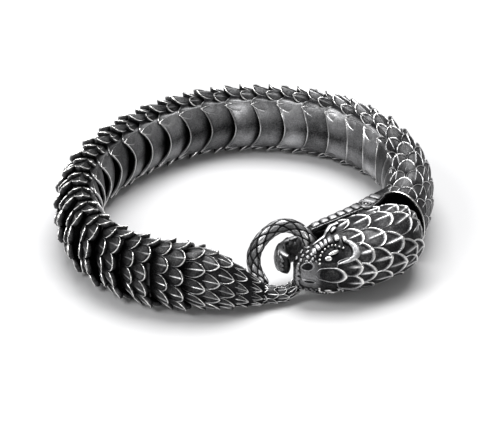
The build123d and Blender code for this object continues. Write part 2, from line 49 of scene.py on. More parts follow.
LOOP_RADIUS = 35.0
LOOP_PATH = [
    # angle in degrees and radius, as a share of LOOP_RADIUS, of the body's middle line
    (252, 1.011), (231, 1.074), (209, 1.057), (185, 0.994), (160, 0.937),
    (130, 0.92), (100, 0.966), (70, 1.006), (45, 1.029), (20, 1.023),
    (-5, 1), (-30, 0.994), (-55, 0.96), (-80, 0.943)]
SPAN_POINTS = 200
PATH_STEP = 0.05

# The body's section, the height of its middle and the width of a scale
BODY_OUT, BODY_IN, BODY_HALF_HEIGHT = 5.5, 5.0, 7.9
MID = 7.9
SCALE_WIDTH = 4.4


def length_along(points):
    return np.concatenate([[0], np.cumsum(np.linalg.norm(np.diff(points, axis=0), axis=1))])


# The closed line through LOOP_PATH: the length along it, and its points
def loop_line():
    knots = LOOP_RADIUS * np.array([
        (r * math.cos(math.radians(a)), r * math.sin(math.radians(a))) for a, r in LOOP_PATH])
    count = len(knots)
    matrix = np.zeros((count, count))
    for i in range(count):
        matrix[i, i - 1] += 1
        matrix[i, i] += 4
        matrix[i, (i + 1) % count] += 1
    bend = np.linalg.solve(matrix, 6 * (np.roll(knots, -1, 0) - 2 * knots + np.roll(knots, 1, 0)))
    t = np.linspace(0, 1, SPAN_POINTS, endpoint=False)[:, None]
    spans = []
    for i in range(count):
        j = (i + 1) % count
        curved = bend[i] * (1 - t) ** 3 / 6 + bend[j] * t ** 3 / 6
        spans.append(curved + (knots[i] - bend[i] / 6) * (1 - t) + (knots[j] - bend[j] / 6) * t)
    line = np.vstack(spans)
    line = np.vstack([line, line[:1]])
    return length_along(line), line


LINE_S, LINE_P = loop_line()
LENGTH = LINE_S[-1]
LINK_COUNT = 22
HEAD_REACH, TAIL_REACH, LEVER_LENGTH, JAW_DEPTH = 57.1, 23.73, 28.7, 8.0
TAIL_S = 0.011 * LENGTH
LINK_PITCH = (LENGTH - HEAD_REACH - TAIL_REACH) / LINK_COUNT
NECK_S = TAIL_S + LINK_COUNT * LINK_PITCH
NOSE_S = NECK_S + HEAD_REACH


def line_at(s):
    return np.interp(s, LINE_S, LINE_P[:, 0]), np.interp(s, LINE_S, LINE_P[:, 1])


# Place and direction of the middle line at the length s
def path(s):
    s = np.mod(s, LENGTH)
    x, y = line_at(s)
    x0, y0 = line_at(np.mod(s - PATH_STEP, LENGTH))
    x1, y1 = line_at(np.mod(s + PATH_STEP, LENGTH))
    tx, ty = x1 - x0, y1 - y0
    size = np.hypot(tx, ty)
    return x, y, tx / size, ty / size


# The point beside the line at the length s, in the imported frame
def on_path(s, out, z):
    x, y, tx, ty = path(s)
    return np.stack(np.broadcast_arrays(x - ty * out, y + tx * out, z), -1) + SHIFT


# A point near the nose, before the shift, from shares of the lever, jaw and body
def near_nose(back, out, height):
    return on_path(NOSE_S - back * LEVER_LENGTH, out * JAW_DEPTH, height * MID) - SHIFT


# Length round the section from the middle of the back, and the angle there
def half_section():
    angle = np.linspace(0, math.pi, 721)
    reach = np.where(angle < math.pi / 2, BODY_OUT, BODY_IN)
    steps = np.hypot(np.diff(np.cos(angle)) * reach[1:], np.diff(np.sin(angle)) * BODY_HALF_HEIGHT)
    return np.concatenate([[0], np.cumsum(steps)]), angle


ARC_LENGTH, ARC_ANGLE = half_section()
HALF_ROUND = ARC_LENGTH[-1]


# Angle in the section at a phase, which counts scale widths from the middle of the back
def angle_at(phase):
    along = np.abs(phase) * SCALE_WIDTH
    past = along > HALF_ROUND
    folded = np.where(past, 2 * HALF_ROUND - along, along)
    return np.sign(phase) * np.where(past, -1.0, 1.0) * np.interp(folded, ARC_LENGTH, ARC_ANGLE)


# Reach outward and upward at a phase of the section, sunk by inset
def section(phase, inset, out_r=BODY_OUT, in_r=BODY_IN, half_height=BODY_HALF_HEIGHT):
    angle = angle_at(phase)
    reach = np.where(np.cos(angle) > 0, out_r, in_r)
    return (reach - inset) * np.cos(angle), (half_height - inset) * np.sin(angle)


def smooth(x, start, end):
    t = np.clip((x - start) / (end - start), 0, 1)
    return t * t * (3 - 2 * t)


def turned(x, y, turn):
    return x * math.cos(turn) - y * math.sin(turn), x * math.sin(turn) + y * math.cos(turn)


def angles(count):
    return np.linspace(0, FULL_TURN, count, endpoint=False)


def circle(radius, count):
    return [(radius * math.cos(t), radius * math.sin(t)) for t in angles(count)]


# The other columns of a table where its first one is s
def lookup(table, s):
    return [np.interp(s, table[:, 0], column) for column in table.T[1:]]


# A power of a value that keeps its sign
def squared(value, power):
    return np.sign(value) * np.abs(value) ** power


# In metres: points near the floor are eased onto it, and doubles are merged
FLOOR_EASE = 3e-4
MERGE_DISTANCE, THIN_EDGE = 2e-7, 1e-8
SHARP_ANGLE = math.radians(42)


# A growing mesh with one value per point: how bright it is, from wear and from painted light (painted sheen
# on the belly plates, painted shade at the bases of the scales)
class Build:
    def __init__(self):
        self.points, self.faces, self.wear, self.count = [], [], [], 0

    def add(self, points, wear, faces):
        points = np.asarray(points, float).reshape(-1, 3)
        self.points.append(points)
        self.wear.append(np.asarray(wear, float).reshape(-1))
        self.faces.extend([[self.count + i for i in face] for face in faces])
        self.count += len(points)

    def object(self, name, body):
        mesh = bpy.data.meshes.new(name)
        points = np.vstack(self.points) * MM
        z = points[:, 2]
        points[:, 2] = np.where(z < FLOOR_EASE, FLOOR_EASE * np.exp(z / FLOOR_EASE - 1), z)
        mesh.from_pydata(points.tolist(), [], self.faces)
        # One value per point: wear, with the painted sheen of the belly plates and the painted shade at the
        # bases of the scales mixed in
        brightening = mesh.attributes.new("wear", "FLOAT", "POINT")
        brightening.data.foreach_set("value", np.clip(np.concatenate(self.wear), 0, 1).astype(np.float32))
        work = bmesh.new()
        work.from_mesh(mesh)
        bmesh.ops.remove_doubles(work, verts=work.verts, dist=MERGE_DISTANCE)
        bmesh.ops.dissolve_degenerate(work, dist=THIN_EDGE, edges=work.edges)
        bmesh.ops.recalc_face_normals(work, faces=work.faces)
        work.to_mesh(mesh)
        work.free()
        for face in mesh.polygons:
            face.use_smooth = True
        mesh.set_sharp_from_angle(angle=SHARP_ANGLE)
        ob = bpy.data.objects.new(name, mesh)
        bpy.context.scene.collection.objects.link(ob)
        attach(ob, body)
        return ob


# Rings of points, each joined to the next; caps closes the first and the last
def rings(mesh, points, wear, caps=True):
    count, around = points.shape[:2]
    faces = []
    for i in range(count - 1):
        a, b = i * around, (i + 1) * around
        for j in range(around):
            after = (j + 1) % around
            faces.append((a + j, a + after, b + after, b + j))
    if caps:
        faces.append(tuple(range(around))[::-1])
        faces.append(tuple((count - 1) * around + j for j in range(around)))
    mesh.add(points, np.broadcast_to(wear, (count, around)), faces)


def shrink(points, ring, share):
    middle = points[ring].mean(0)
    points[ring] = middle + (points[ring] - middle) * share


# Rows along a leaf and columns across it, closer together near its outline
LEAF_ROWS = np.array([
    0, 0.004, 0.015, 0.032, 0.055, 0.085, 0.12, 0.165, 0.22, 0.29,
    0.37, 0.46, 0.55, 0.64, 0.73, 0.81, 0.88, 0.94, 0.98, 1])
LEAF_HALF = np.array([0, 0.05, 0.11, 0.2, 0.33, 0.48, 0.62, 0.74, 0.83, 0.9, 0.955, 1.0])
LEAF_COLUMNS = np.concatenate([-LEAF_HALF[:0:-1], LEAF_HALF])
OUTLINE_POINTS = 90
BASE_CLOSES_AT, BASE_CLOSES_OVER = 0.86, 0.14
SHAPES = {}


# Points of a leaf, r from its tip and w across, and how far inside its outline they are
def leaf_shape(hw, length, point, narrow, wide_at):
    key = (round(hw, 2), round(length, 2), point, narrow, wide_at)
    if key in SHAPES:
        return SHAPES[key]

    def half_width(u):
        front = (1 - (1 - np.minimum(u / wide_at, 1)) ** 2) ** point
        back = 1 - narrow * np.clip((u - wide_at) / (1 - wide_at), 0, 1) ** 2
        end = np.clip((u - BASE_CLOSES_AT) / BASE_CLOSES_OVER, 0, 1)
        return hw * front * back * np.sqrt(np.clip(1 - end ** 2, 0, 1))
    r = np.repeat(LEAF_ROWS[:, None] * length, len(LEAF_COLUMNS), 1)
    w = half_width(LEAF_ROWS)[:, None] * LEAF_COLUMNS[None]
    u = (1 - np.cos(np.linspace(0, math.pi, OUTLINE_POINTS))) / 2
    across = np.concatenate([half_width(u), -half_width(u[::-1])])
    outline = np.stack([np.concatenate([u, u[::-1]]) * length, across], 1)
    edge = np.roll(outline, -1, 0) - outline
    edge_square = np.maximum((edge * edge).sum(1), 1e-12)
    offset = np.stack([r.ravel(), w.ravel()], 1)[:, None] - outline[None]
    share = np.clip((offset * edge[None]).sum(2) / edge_square[None], 0, 1)
    distance = np.sqrt(((offset - share[..., None] * edge[None]) ** 2).sum(2).min(1)).reshape(r.shape)
    distance[:, 0] = distance[:, -1] = 0
    distance[0] = distance[-1] = 0
    SHAPES[key] = (r, w, distance)
    return SHAPES[key]


# A leaf's edge points, and its faces: the top, two bands of wall and the underside
def leaf_faces():
    rows, columns = len(LEAF_ROWS), len(LEAF_COLUMNS)
    edge = [(i, columns - 1) for i in range(rows)] + [(i, 0) for i in range(rows - 2, 0, -1)]
    faces = []
    for i in range(rows - 1):
        for j in range(columns - 1):
            a, b = i * columns + j, (i + 1) * columns + j
            faces.append((a, b, b + 1, a + 1))
    base, count = rows * columns, len(edge)
    for here in range(count):
        after = (here + 1) % count
        a, b = [edge[q][0] * columns + edge[q][1] for q in (here, after)]
        faces.append((a, b, base + after, base + here))
        faces.append((base + here, base + after, base + count + after, base + count + here))
    faces.append(tuple(base + count + q for q in range(count)))
    return np.array(edge).T, faces


(EDGE_I, EDGE_J), LEAF_FACES = leaf_faces()

# Height and brightness of the rim against the distance inside the outline, in rim widths
RIM_SHAPE = ([0, 0.18, 0.45, 0.75, 1.05, 1.5], [0.5, 0.92, 1.0, 0.6, 0.1, 0.0])
RIM_BRIGHT = ([0, 0.35, 0.7, 1.0], [1.0, 1.0, 0.5, 0.0])
TIP_SHARE = 0.45
OPEN_OVER = 0.36
FURROW_AT, FURROW_WIDTH, FURROW_DEPTH, FURROW_DARK = 1.45, 0.45, 0.05, 0.2
LEAF_LIFT, BASE_SINK, EDGE_DROP = 0.08, 0.22, 0.12
KEEL_BRIGHT, WALL_BRIGHT, GRAIN = 0.8, 0.3, 0.05


# One scale: a closed leaf with a raised rim, a furrow inside it and a keel from its tip
# place turns x, phase and height into a point, unit is one phase in millimetres, k scales the relief
# point, narrow and wide_at form the outline; field, side, open_at and the rim's brightening set its wear,
# and fade sets the painted shade towards its base
def leaf(mesh, place, tip, phase, unit, hw, length=4.6, k=1.0, rim=0.2, tip_rim=0.34, rim_h=0.26,
         keel=0.8, keel_w=0.15, keel_h=0.2, dome=0.12, point=0.6, narrow=0.45, wide_at=0.5, thick=0.5,
         field=0.14, side=0.5, turn=0.0, brightening=1.0, open_at=0.42, fade=0.8):
    r, w, distance = leaf_shape(hw, length, point, narrow, wide_at)
    f = r / length
    near_tip = np.clip(1 - f / TIP_SHARE, 0, 1)
    from_edge = distance / (k * (rim + (tip_rim - rim) * near_tip))
    ridge_r = np.interp(from_edge, *RIM_SHAPE)
    bright = np.interp(from_edge, *RIM_BRIGHT)
    furrow = np.exp(-((from_edge - FURROW_AT) / FURROW_WIDTH) ** 2)
    strength = side + (1 - side) * near_tip ** 0.7
    strength = strength * (1 - smooth(f, open_at, open_at + OPEN_OVER))
    keel_half = keel_w * (1.4 - 1.1 * f) * k
    spine = np.exp(-1.5 * (w / keel_half) ** 2) * (1 - smooth(f, keel * 0.55, keel)) if keel else 0 * w
    v = w / hw
    h = LEAF_LIFT + dome * (1 - v * v) + rim_h * ridge_r * strength ** 0.5
    h = h + keel_h * spine * (1 - 0.6 * ridge_r) - FURROW_DEPTH * furrow
    h = (h - BASE_SINK * smooth(f, 0.55, 1.0)) * k
    grain = rng.uniform(-GRAIN, GRAIN)
    # Painted shade: the field darkens towards the leaf's base, where it tucks under the scales in front
    wear = (field + grain) * (1 - fade * smooth(f, 0.35, 0.95))
    wear = wear + (1.0 - wear) * np.maximum(bright * strength, KEEL_BRIGHT * spine) * brightening
    wear = wear - FURROW_DARK * furrow * (1 - spine)
    x, y = turned(r, w, turn)
    x, phases = tip + x, phase + y / unit
    top = place(x, phases, h)
    edge_x, edge_phase, edge_h = x[EDGE_I, EDGE_J], phases[EDGE_I, EDGE_J], h[EDGE_I, EDGE_J]
    wall = place(edge_x, edge_phase, edge_h - EDGE_DROP * k)
    foot = place(edge_x, edge_phase, np.full(len(EDGE_I), -thick * k))
    wears = np.concatenate([wear.ravel(), WALL_BRIGHT * wear[EDGE_I, EDGE_J], np.zeros(len(EDGE_I))])
    mesh.add(np.vstack([top.reshape(-1, 3), wall, foot]), wears, LEAF_FACES)


# Rings of a block from the middle of its top to that of its underside: share of its size, wear
PILLOW_RINGS = np.array([0.02, 0.35, 0.62, 0.8, 0.91, 0.98, 1.0, 1.0, 0.02])
PILLOW_WEAR = np.array([1, 1, 0.95, 0.9, 0.75, 0.45, 0.15, 0.0, 0.0])


# A rounded block or bead: its middle, half length and width, height at its edge and top
# p squares its outline, flat squares its crown, low is its underside
def pillow(mesh, place, cx, cy, hx, hy, h0, h1, p=4.0, turn=0.0, n=16, wear=1.0, low=0.0, flat=2.6):
    a = angles(n)
    x = PILLOW_RINGS[:, None] * (squared(np.cos(a), 2 / p) * hx)
    y = PILLOW_RINGS[:, None] * (squared(np.sin(a), 2 / p) * hy)
    h = h0 + (h1 - h0) * (1 - PILLOW_RINGS ** flat) ** (1 / flat)
    h[-2:] = low
    x, y = turned(x, y, turn)
    rings(mesh, place(cx + x, cy + y, np.broadcast_to(h[:, None], x.shape)), (PILLOW_WEAR * wear)[:, None])


# Links: x runs towards the head from the link's own pin
TIP_OVERHANG = 2.6
RIM_TIP, RIM_DEPTH, RIM_DIP = -TIP_OVERHANG, 2.1, -0.2
NARROW_X = LINK_PITCH - 0.95
AROUND = np.linspace(-HALF_ROUND, HALF_ROUND, 192, endpoint=False) / SCALE_WIDTH
CORNER, CORNER_FROM, CORNER_HALF, CORNER_BACK = 3.42, 2.96, 0.42, 0.1


# The edge of a link: points of scales, a corner on each side, a dip on the belly
def rim_x(phase):
    w = np.abs(phase)
    q = np.mod(w + 0.5, 1.0)
    q = 2 * np.minimum(q, 1 - q)
    scales = RIM_TIP + RIM_DEPTH * (0.5 * q ** 1.6 + 0.5 * (1 - np.sqrt(np.maximum(0, 1 - q * q))))
    q = np.clip((CORNER - w) / CORNER_HALF, -1, 1)
    corner = RIM_TIP + CORNER_BACK + 1.2 * np.abs(q) ** 1.7
    f = np.clip((w - CORNER) * SCALE_WIDTH / (HALF_ROUND - CORNER * SCALE_WIDTH), 0, 1)
    belly = RIM_TIP + CORNER_BACK + (RIM_DIP - RIM_TIP - CORNER_BACK) * np.sin(f * math.pi / 2) ** 0.9
    return np.where(w > CORNER, belly, np.where(w > CORNER_FROM, corner, scales))


# Places x, y and z of the link between the pins k and k + 1
def link_place(k):
    a = on_path(TAIL_S + k * LINK_PITCH, 0.0, MID)
    b = on_path(TAIL_S + (k + 1) * LINK_PITCH, 0.0, MID)
    u = (b - a) / np.linalg.norm(b - a)
    v = np.array([-u[1], u[0], 0])

    def place(x, y, z):
        x, y, z = np.broadcast_arrays(x, y, z)
        return a + x[..., None] * u + y[..., None] * v + z[..., None] * np.array([0, 0, 1.0])
    return place


# Rings of a shell from its table, blended from the back to the belly
def shell_rings(edge, belly, table):
    xs, insets, wears = [], [], []
    for mode, *row in table:
        x, inset, wear = [row[i] * (1 - belly) + row[i + 1] * belly for i in (0, 2, 4)]
        xs.append(x + edge if mode == "edge" else x)
        insets.append(inset)
        wears.append(wear)
    return np.array(xs), np.array(insets), np.array(wears)


LINK_SHELL = [
    # mode, x on the back, x on the belly, inset back, inset belly, wear back, wear belly
    ("at", NARROW_X, NARROW_X, 3.6, 3.6, 0, 0),
    ("at", NARROW_X, NARROW_X + 0.1, 2.62, 1.95, 0, 0),
    ("at", NARROW_X - 0.2, NARROW_X - 0.25, 2.5, 1.72, 0, 0.05),
    ("at", 3.9, 4.2, 2.05, 1.32, 0, 0.14),
    ("at", 2.6, 3, 1.6, 0.98, 0, 0.2),
    ("at", 1.4, 2, 1.2, 0.72, 0, 0.22),
    ("edge", 1.6, 1.35, 0.95, 0.48, 0, 0.24),
    ("edge", 0.9, 0.75, 0.8, 0.32, 0, 0.22),
    ("edge", 0.5, 0.36, 0.68, 0.24, 0, 0.2),
    ("edge", 0.3, 0.2, 0.6, 0.1, 0, 0.55),
    ("edge", 0.14, 0.08, 0.6, 0.04, 0, 0.95),
    ("edge", 0.1, 0, 0.68, 0.12, 0, 0.8),
    ("edge", 0.1, 0, 0.85, 0.6, 0, 0.15),
    ("edge", 0.5, 0.5, 1, 0.9, 0, 0),
    ("at", 2.27, 2.3, 1.75, 1.55, 0, 0),
]
PLATE_FROM, PLATE_TO = 13.3, 14.5
# Painted sheen of the belly plates: the range of each plate's random brightness, and its usual value
PLATE_SHEEN_RANGE, PLATE_SHEEN_USUAL = (0.19, 0.46), 0.22

# Phase and half width of the scales on one side
INNER_TIP = 0.85
INNER_ROW = [(0, 2.15), (1, 2.15), (2, 2.1), (2.88, 1.5)]
EDGE_ROW = [(0.5, 2.2), (1.5, 2.2), (2.47, 2.05)]
LINK_LEAF = dict(dome=0.24, keel_h=0.26, tip_rim=0.4, side=0.7)
CORNER_LEAF = dict(keel=0, point=0.95, wide_at=0.75, narrow=0.1, k=0.6, fade=0.0)
CORNERS = [
    # side, phase, brighter than the plate's painted sheen by, own settings
    (1, 3.5, 0.14, dict(hw=1.2, length=4.8, rim=0.2, tip_rim=0.36, open_at=0.46, side=0.65)),
    (-1, 3.42, 0.04, dict(hw=0.8, length=3.6, rim=0.14, tip_rim=0.26, open_at=0.4, side=0.4))]
FOLD_LEAF = dict(hw=0.42, length=2.0, keel=0, rim=0.16, field=0.12, k=0.5, open_at=0.6, brightening=0.4)
TURN_SPREAD = 0.03


def mirrored(rows):
    return rows + [(-phase, hw) for phase, hw in rows if phase]


# The cup of a link, with painted sheen on its belly plate: a random brightness for each plate and a wavy
# band of painted reflection across it; returns that plate brightness
def link_shell(mesh, place, k):
    belly = smooth(np.abs(AROUND) * SCALE_WIDTH, PLATE_FROM, PLATE_TO)
    xs, insets, wears = shell_rings(rim_x(AROUND), belly, LINK_SHELL)
    squeeze = np.where(xs > 2.0, 0.62, 0.9)
    y, z = section(AROUND[None], insets)
    z = z + (1 - squeeze) * insets * np.sin(angle_at(AROUND))[None]
    uneven = 0.05 * np.sin(3.1 * AROUND + k)[None] * belly
    # Painted reflection: a random brightness for this plate, and a band of sheen that rises and falls
    # across its height
    plate_sheen = rng.uniform(*PLATE_SHEEN_RANGE)
    sheen_wave = 2.6 * (np.abs(AROUND) - 3.75) + rng.uniform(-0.4, 0.4)
    sheen = plate_sheen / PLATE_SHEEN_USUAL * (1 + 0.6 * np.cos(sheen_wave))
    rings(mesh, place(xs, y + uneven, z), np.where(wears < 0.3, wears * sheen, wears))
    return plate_sheen


# The surface under a link's row of scales
def link_surface(place, tip, start, slope, tall):
    def surface(x, phase, h):
        inset = start + slope * (x - tip)
        y, z = section(phase, inset - h)
        return place(x, y, z + tall * np.maximum(inset, 0) * np.sin(angle_at(phase)))
    return surface


def link_scales(mesh, place, plate_sheen, k):
    inner = link_surface(place, INNER_TIP, 0.60, 0.44, 0.3)
    edge = link_surface(place, RIM_TIP, 0.44, 0.26, 0.2)
    corner = link_surface(place, RIM_TIP, 0.24, 0.12, 0.0)
    for phase, hw in mirrored(INNER_ROW):
        leaf(mesh, inner, INNER_TIP + rng.normal(0, 0.05), phase, SCALE_WIDTH, hw, length=4.4,
             turn=rng.normal(0, TURN_SPREAD), open_at=0.3, **LINK_LEAF)
    for side, corner_phase, brighter, settings in CORNERS:
        for phase, hw in EDGE_ROW:
            leaf(mesh, edge, RIM_TIP, side * phase, SCALE_WIDTH, hw, length=4.9, thick=0.55,
                 turn=rng.normal(0, TURN_SPREAD), **LINK_LEAF)
        leaf(mesh, corner, RIM_TIP + CORNER_BACK, side * corner_phase, SCALE_WIDTH,
             field=plate_sheen + brighter, turn=0.08 * side, **CORNER_LEAF, **settings)
        if side > 0 and k % 3 == 1:
            leaf(mesh, corner, -1.0, 4.1, SCALE_WIDTH, **FOLD_LEAF)


# Hinge between two links: a pin, and a tongue with an eye behind it
PIN_R, PIN_HALF, PIN_SIDES = 0.6, 7.0, 16
EYE_R, HOLE_R, EYE_SIDES = 1.75, 0.9, 24
TONGUE_HALF_HEIGHT, TONGUE_HALF_WIDTH = 2.6, 1.1
LINK_TONGUE, TAIL_TONGUE = (4.6, 5.35), (-2.0, -0.92)
HINGE_WEAR = 0.3


def bar(mesh, place, outline, half_height):
    x = np.array([[p[0] for p in outline]] * 2)
    y = np.array([[p[1] for p in outline]] * 2)
    z = np.array([[-half_height] * len(outline), [half_height] * len(outline)])
    rings(mesh, place(x, y, z), HINGE_WEAR)


# The eye round a pin at pin_x, and its tongue from x0 to x1
def tongue(mesh, place, pin_x, x0, x1):
    outer, hole = circle(EYE_R, EYE_SIDES), circle(HOLE_R, EYE_SIDES)
    low, high = -TONGUE_HALF_HEIGHT, TONGUE_HALF_HEIGHT
    rows = [(outer, low), (outer, high), (hole, high), (hole, low), (outer, low)]
    x = np.array([[p[0] + pin_x for p in shape] for shape, _ in rows])
    y = np.array([[p[1] for p in shape] for shape, _ in rows])
    z = np.array([[height] * EYE_SIDES for _, height in rows])
    rings(mesh, place(x, y, z), HINGE_WEAR, caps=False)
    w = TONGUE_HALF_WIDTH
    bar(mesh, place, [(x0, -w), (x1, -w), (x1, w), (x0, w)], TONGUE_HALF_HEIGHT)


def make_link(k):
    b = Build()
    place = link_place(k)
    plate_sheen = link_shell(b, place, k)
    link_scales(b, place, plate_sheen, k)
    bar(b, place, circle(PIN_R, PIN_SIDES), PIN_HALF)
    tongue(b, place, LINK_PITCH, *LINK_TONGUE)
    name = "link_%02d" % (k + 1)
    ob = b.object("scaled_" + name, "bracelet")
    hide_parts(name)
    return ob


# Neck: rows of scales that end in the collar; s counts from the last link's end
NECK = np.array([
    # s, reach outward, reach to the wrist
    (-3, 5.5, 5), (8, 5.6, 5.2), (18, 5.8, 5.6), (26.6, 6.1, 6.2)])
COLLAR_AT, LAST_ROW_BACK, NECK_ROW_COUNT = 26.6, 2.2, 7
NECK_PLATE_FROM, NECK_PLATE_TO = 14.0, 15.6
NECK_EDGE = [
    # columns as in LINK_SHELL
    ("at", 2.87, 2.9, 1.75, 1.6, 0, 0),
    ("edge", 0.5, 0.5, 1, 0.9, 0, 0.1),
    ("edge", 0.1, 0, 0.85, 0.62, 0, 0.4),
    ("edge", 0.1, 0, 0.68, 0.22, 0, 0.9),
    ("edge", 0.14, 0.12, 0.6, 0.05, 0, 1),
    ("edge", 0.3, 0.42, 0.6, 0.02, 0, 1),
    ("edge", 0.5, 0.52, 0.68, 0.2, 0, 0.3),
    ("edge", 0.9, 0.9, 0.9, 0.25, 0, 0.22),
    ("at", 4, 4, 1.2, 0.35, 0, 0.22),
]
BELLY_STEPS_AT = (6.0, 11.6)
BELLY_STEP = [
    # s from the step, inset belly, wear belly
    (-0.9, 0.5, 0.1), (-0.25, 0.56, 0), (0, 0.5, 0), (0.03, 0.12, 0.9),
    (0.2, 0.06, 1), (0.5, 0.12, 0.5), (1.2, 0.2, 0.24), (2.6, 0.3, 0.22)]
PLAIN_BELLY_AT = (17, 19, 21, 23, 24)
COLLAR = [
    # s, inset back, inset belly, wear back, wear belly
    (25.3, 0.8, 0.25, 0, 0.1), (25.8, 0.7, 0.2, 0, 0.1), (26.4, 0.5, 0.12, 0.1, 0.2),
    (27, 0.24, 0.08, 0.3, 0.3), (27.25, 0.06, 0.04, 0.9, 0.9), (27.4, 0.14, 0.14, 0.95, 0.95),
    (27.4, 0.32, 0.32, 0.7, 0.7), (27.3, 0.42, 0.42, 0.1, 0.1), (27.2, 0.85, 0.85, 0.05, 0.05),
    (27, 1, 1, 0, 0), (26, 1.05, 1.05, 0, 0), (23.4, 1.3, 1.3, 0, 0)]
NECK_ROWS = [
    # inset at the tips, slope
    (0.34, 0.24), (0.34, 0.24), (0.34, 0.22), (0.36, 0.18),
    (0.38, 0.15), (0.4, 0.12), (0.42, 0.11), (0.5, 0.1)]
NECK_EVEN = [(0.5, 2.2), (1.5, 2.2), (2.5, 2.2), (3.45, 1.6)]
NECK_ODD = [(0, 2.15), (1, 2.15), (2, 2.15), (3, 2.1)]
NECK_RAISED = dict(k=0.9)
NECK_FLAT = dict(k=0.62, rim=0.24, point=0.7, field=0.2, side=0.75, open_at=0.62)
RAISED_ROW_COUNT = 4
LAST_TIP, LAST_LENGTH, NECK_LENGTH = 23.9, 2.9, 5.0


def neck_point(s, phase, inset):
    y, z = section(phase, inset, *lookup(NECK, s))
    return on_path(NECK_S + s, y, MID + z)


# The surface under a row of scales on the neck or tail
def sloping(point, tip, start, slope):
    def surface(x, phase, h):
        return point(x, phase, start + slope * (x - tip) - h)
    return surface


def neck_shell(mesh):
    belly = smooth(np.abs(AROUND) * SCALE_WIDTH, NECK_PLATE_FROM, NECK_PLATE_TO)
    table = list(NECK_EDGE)
    for s in BELLY_STEPS_AT:
        table += [("at", s + ds, s + ds, 1.25 - 0.02 * s, inset, 0, wear) for ds, inset, wear in BELLY_STEP]
    table += [("at", s, s, 0.95, 0.2, 0, 0.22) for s in PLAIN_BELLY_AT]
    table += [("at", s, s, *rest) for s, *rest in COLLAR]
    xs, insets, wears = shell_rings(rim_x(AROUND), belly, table)
    rings(mesh, neck_point(xs, np.broadcast_to(AROUND, xs.shape), insets), wears)


def make_neck(b):
    neck_shell(b)
    pitch = (COLLAR_AT + TIP_OVERHANG - LAST_ROW_BACK) / NECK_ROW_COUNT
    for i, (lift, slope) in enumerate(NECK_ROWS):
        last = i == NECK_ROW_COUNT
        tip = LAST_TIP if last else i * pitch - TIP_OVERHANG
        row = sloping(neck_point, tip, lift, slope)
        settings = NECK_RAISED if i < RAISED_ROW_COUNT else NECK_FLAT
        for phase, hw in mirrored(NECK_ODD if i % 2 else NECK_EVEN):
            leaf(b, row, tip + rng.normal(0, 0.06), phase, SCALE_WIDTH, hw,
                 length=LAST_LENGTH if last else NECK_LENGTH, turn=rng.normal(0, 0.05), **settings)
    bar(b, link_place(LINK_COUNT), circle(PIN_R, PIN_SIDES), PIN_HALF)


# Lower jaw: a channel with two rails of blocks
JAW = np.array([
    # s, wrist_face, plate_inside, rail_edge, rail_half_height, inner_half_height
    (22, -4.6, -3.6, -2.4, 6.2, 5.2), (27, -6.1, -5, -3, 6.7, 5.7),
    (31, -6.9, -6, -2.9, 6.8, 5.8), (35.2, -7.2, -6.3, -3, 6.8, 5.8),
    (36.6, -7.3, -6.4, -4.1, 6.8, 5.8), (42, -7.6, -6.7, -4.7, 6.6, 5.6),
    (47, -7.8, -6.9, -5, 6.1, 5.1), (50.5, -8, -7.1, -5.4, 5.4, 4.4)])
RAIL_TOP = 3
JAW_START, JAW_END = 22.0, 50.5
RIVET_AT, RIVET_OUT = 34.6, -4.2
BLOCK = 2.4
RAIL_RELIEF = 0.12


# Section of the jaw as y, z and wear: its outer side, then its inner one
def jaw_section(s):
    wrist, inside, edge, top, inner = lookup(JAW, s)
    top = top - RAIL_RELIEF
    outer_half = [
        (edge, top, 0.5), (edge - 0.12, top + 0.04, 0.1), (wrist + 1.2, top, 0),
        (wrist + 0.75, top - 0.25, 0), (wrist + 0.4, top - 0.7, 0), (wrist + 0.2, top - 1.3, 0),
        (wrist + 0.12, top - 2.4, 0.25), (wrist + 0.05, top * 0.3, 0.28)]
    inner_half = [
        (inside, inner - 0.3, 0), (inside + 0.3, inner, 0),
        (edge - 0.1, inner, 0.1), (edge, inner + 0.1, 0.25)]

    def below(half):
        return [(y, -z, wear) for y, z, wear in half[::-1]]
    return np.array(outer_half + below(outer_half) + below(inner_half) + inner_half)


def jaw_channel(mesh):
    rows, wears = [], []
    for s in np.linspace(JAW_START, JAW_END, 40):
        y, z, wear = jaw_section(s).T
        rows.append(on_path(NECK_S + s, y, MID + z))
        wears.append(wear)
    rings(mesh, np.array(rows), np.array(wears))


# A block on top of the rail, and the one beside it on the wrist side
def jaw_block(mesh, mid, side, number):
    wrist, _, edge, top, _ = lookup(JAW, mid)
    lean = (lookup(JAW, mid + 1)[RAIL_TOP] - lookup(JAW, mid - 1)[RAIL_TOP]) / 2

    def rail(x, y, h):
        return on_path(NECK_S + x, y, MID + side * (top - RAIL_RELIEF + lean * (x - mid) + h))

    def wristside(x, z, h):
        return on_path(NECK_S + x, wrist + 0.35 - h, MID + side * (top - 1.15 + lean * (x - mid) + z))
    middle = (edge - 0.15 + wrist + 1.0) / 2
    half = (edge - 0.1 - wrist - 1.0) / 2
    if abs(mid - RIVET_AT) > BLOCK / 2:
        pillow(mesh, rail, mid, middle, BLOCK / 2 - 0.19, half, 0.1, 0.5, p=5, low=-0.4,
               turn=side * 0.1 * math.sin(7 * number), wear=rng.uniform(0.38, 0.56))
    pillow(mesh, wristside, mid, 0.0, BLOCK / 2 - 0.24, 0.52, 0.05, 0.38, p=5, low=-0.5, wear=0.5)


def make_jaw(b):
    jaw_channel(b)
    s = RIVET_AT - 2.5 * BLOCK
    number = 0
    while s + BLOCK < JAW_END:
        for side in (1, -1):
            jaw_block(b, s + BLOCK / 2, side, number)
        s += BLOCK
        number += 1


BOSS = [
    # radius, height over the rail, wear
    (1.12, -0.3, 0), (1.12, 0.2, 0.05), (1.22, 0.42, 0.4), (1.4, 0.5, 0.5), (1.6, 0.4, 0.45),
    (1.72, 0.1, 0.1), (1.72, -0.3, 0)]


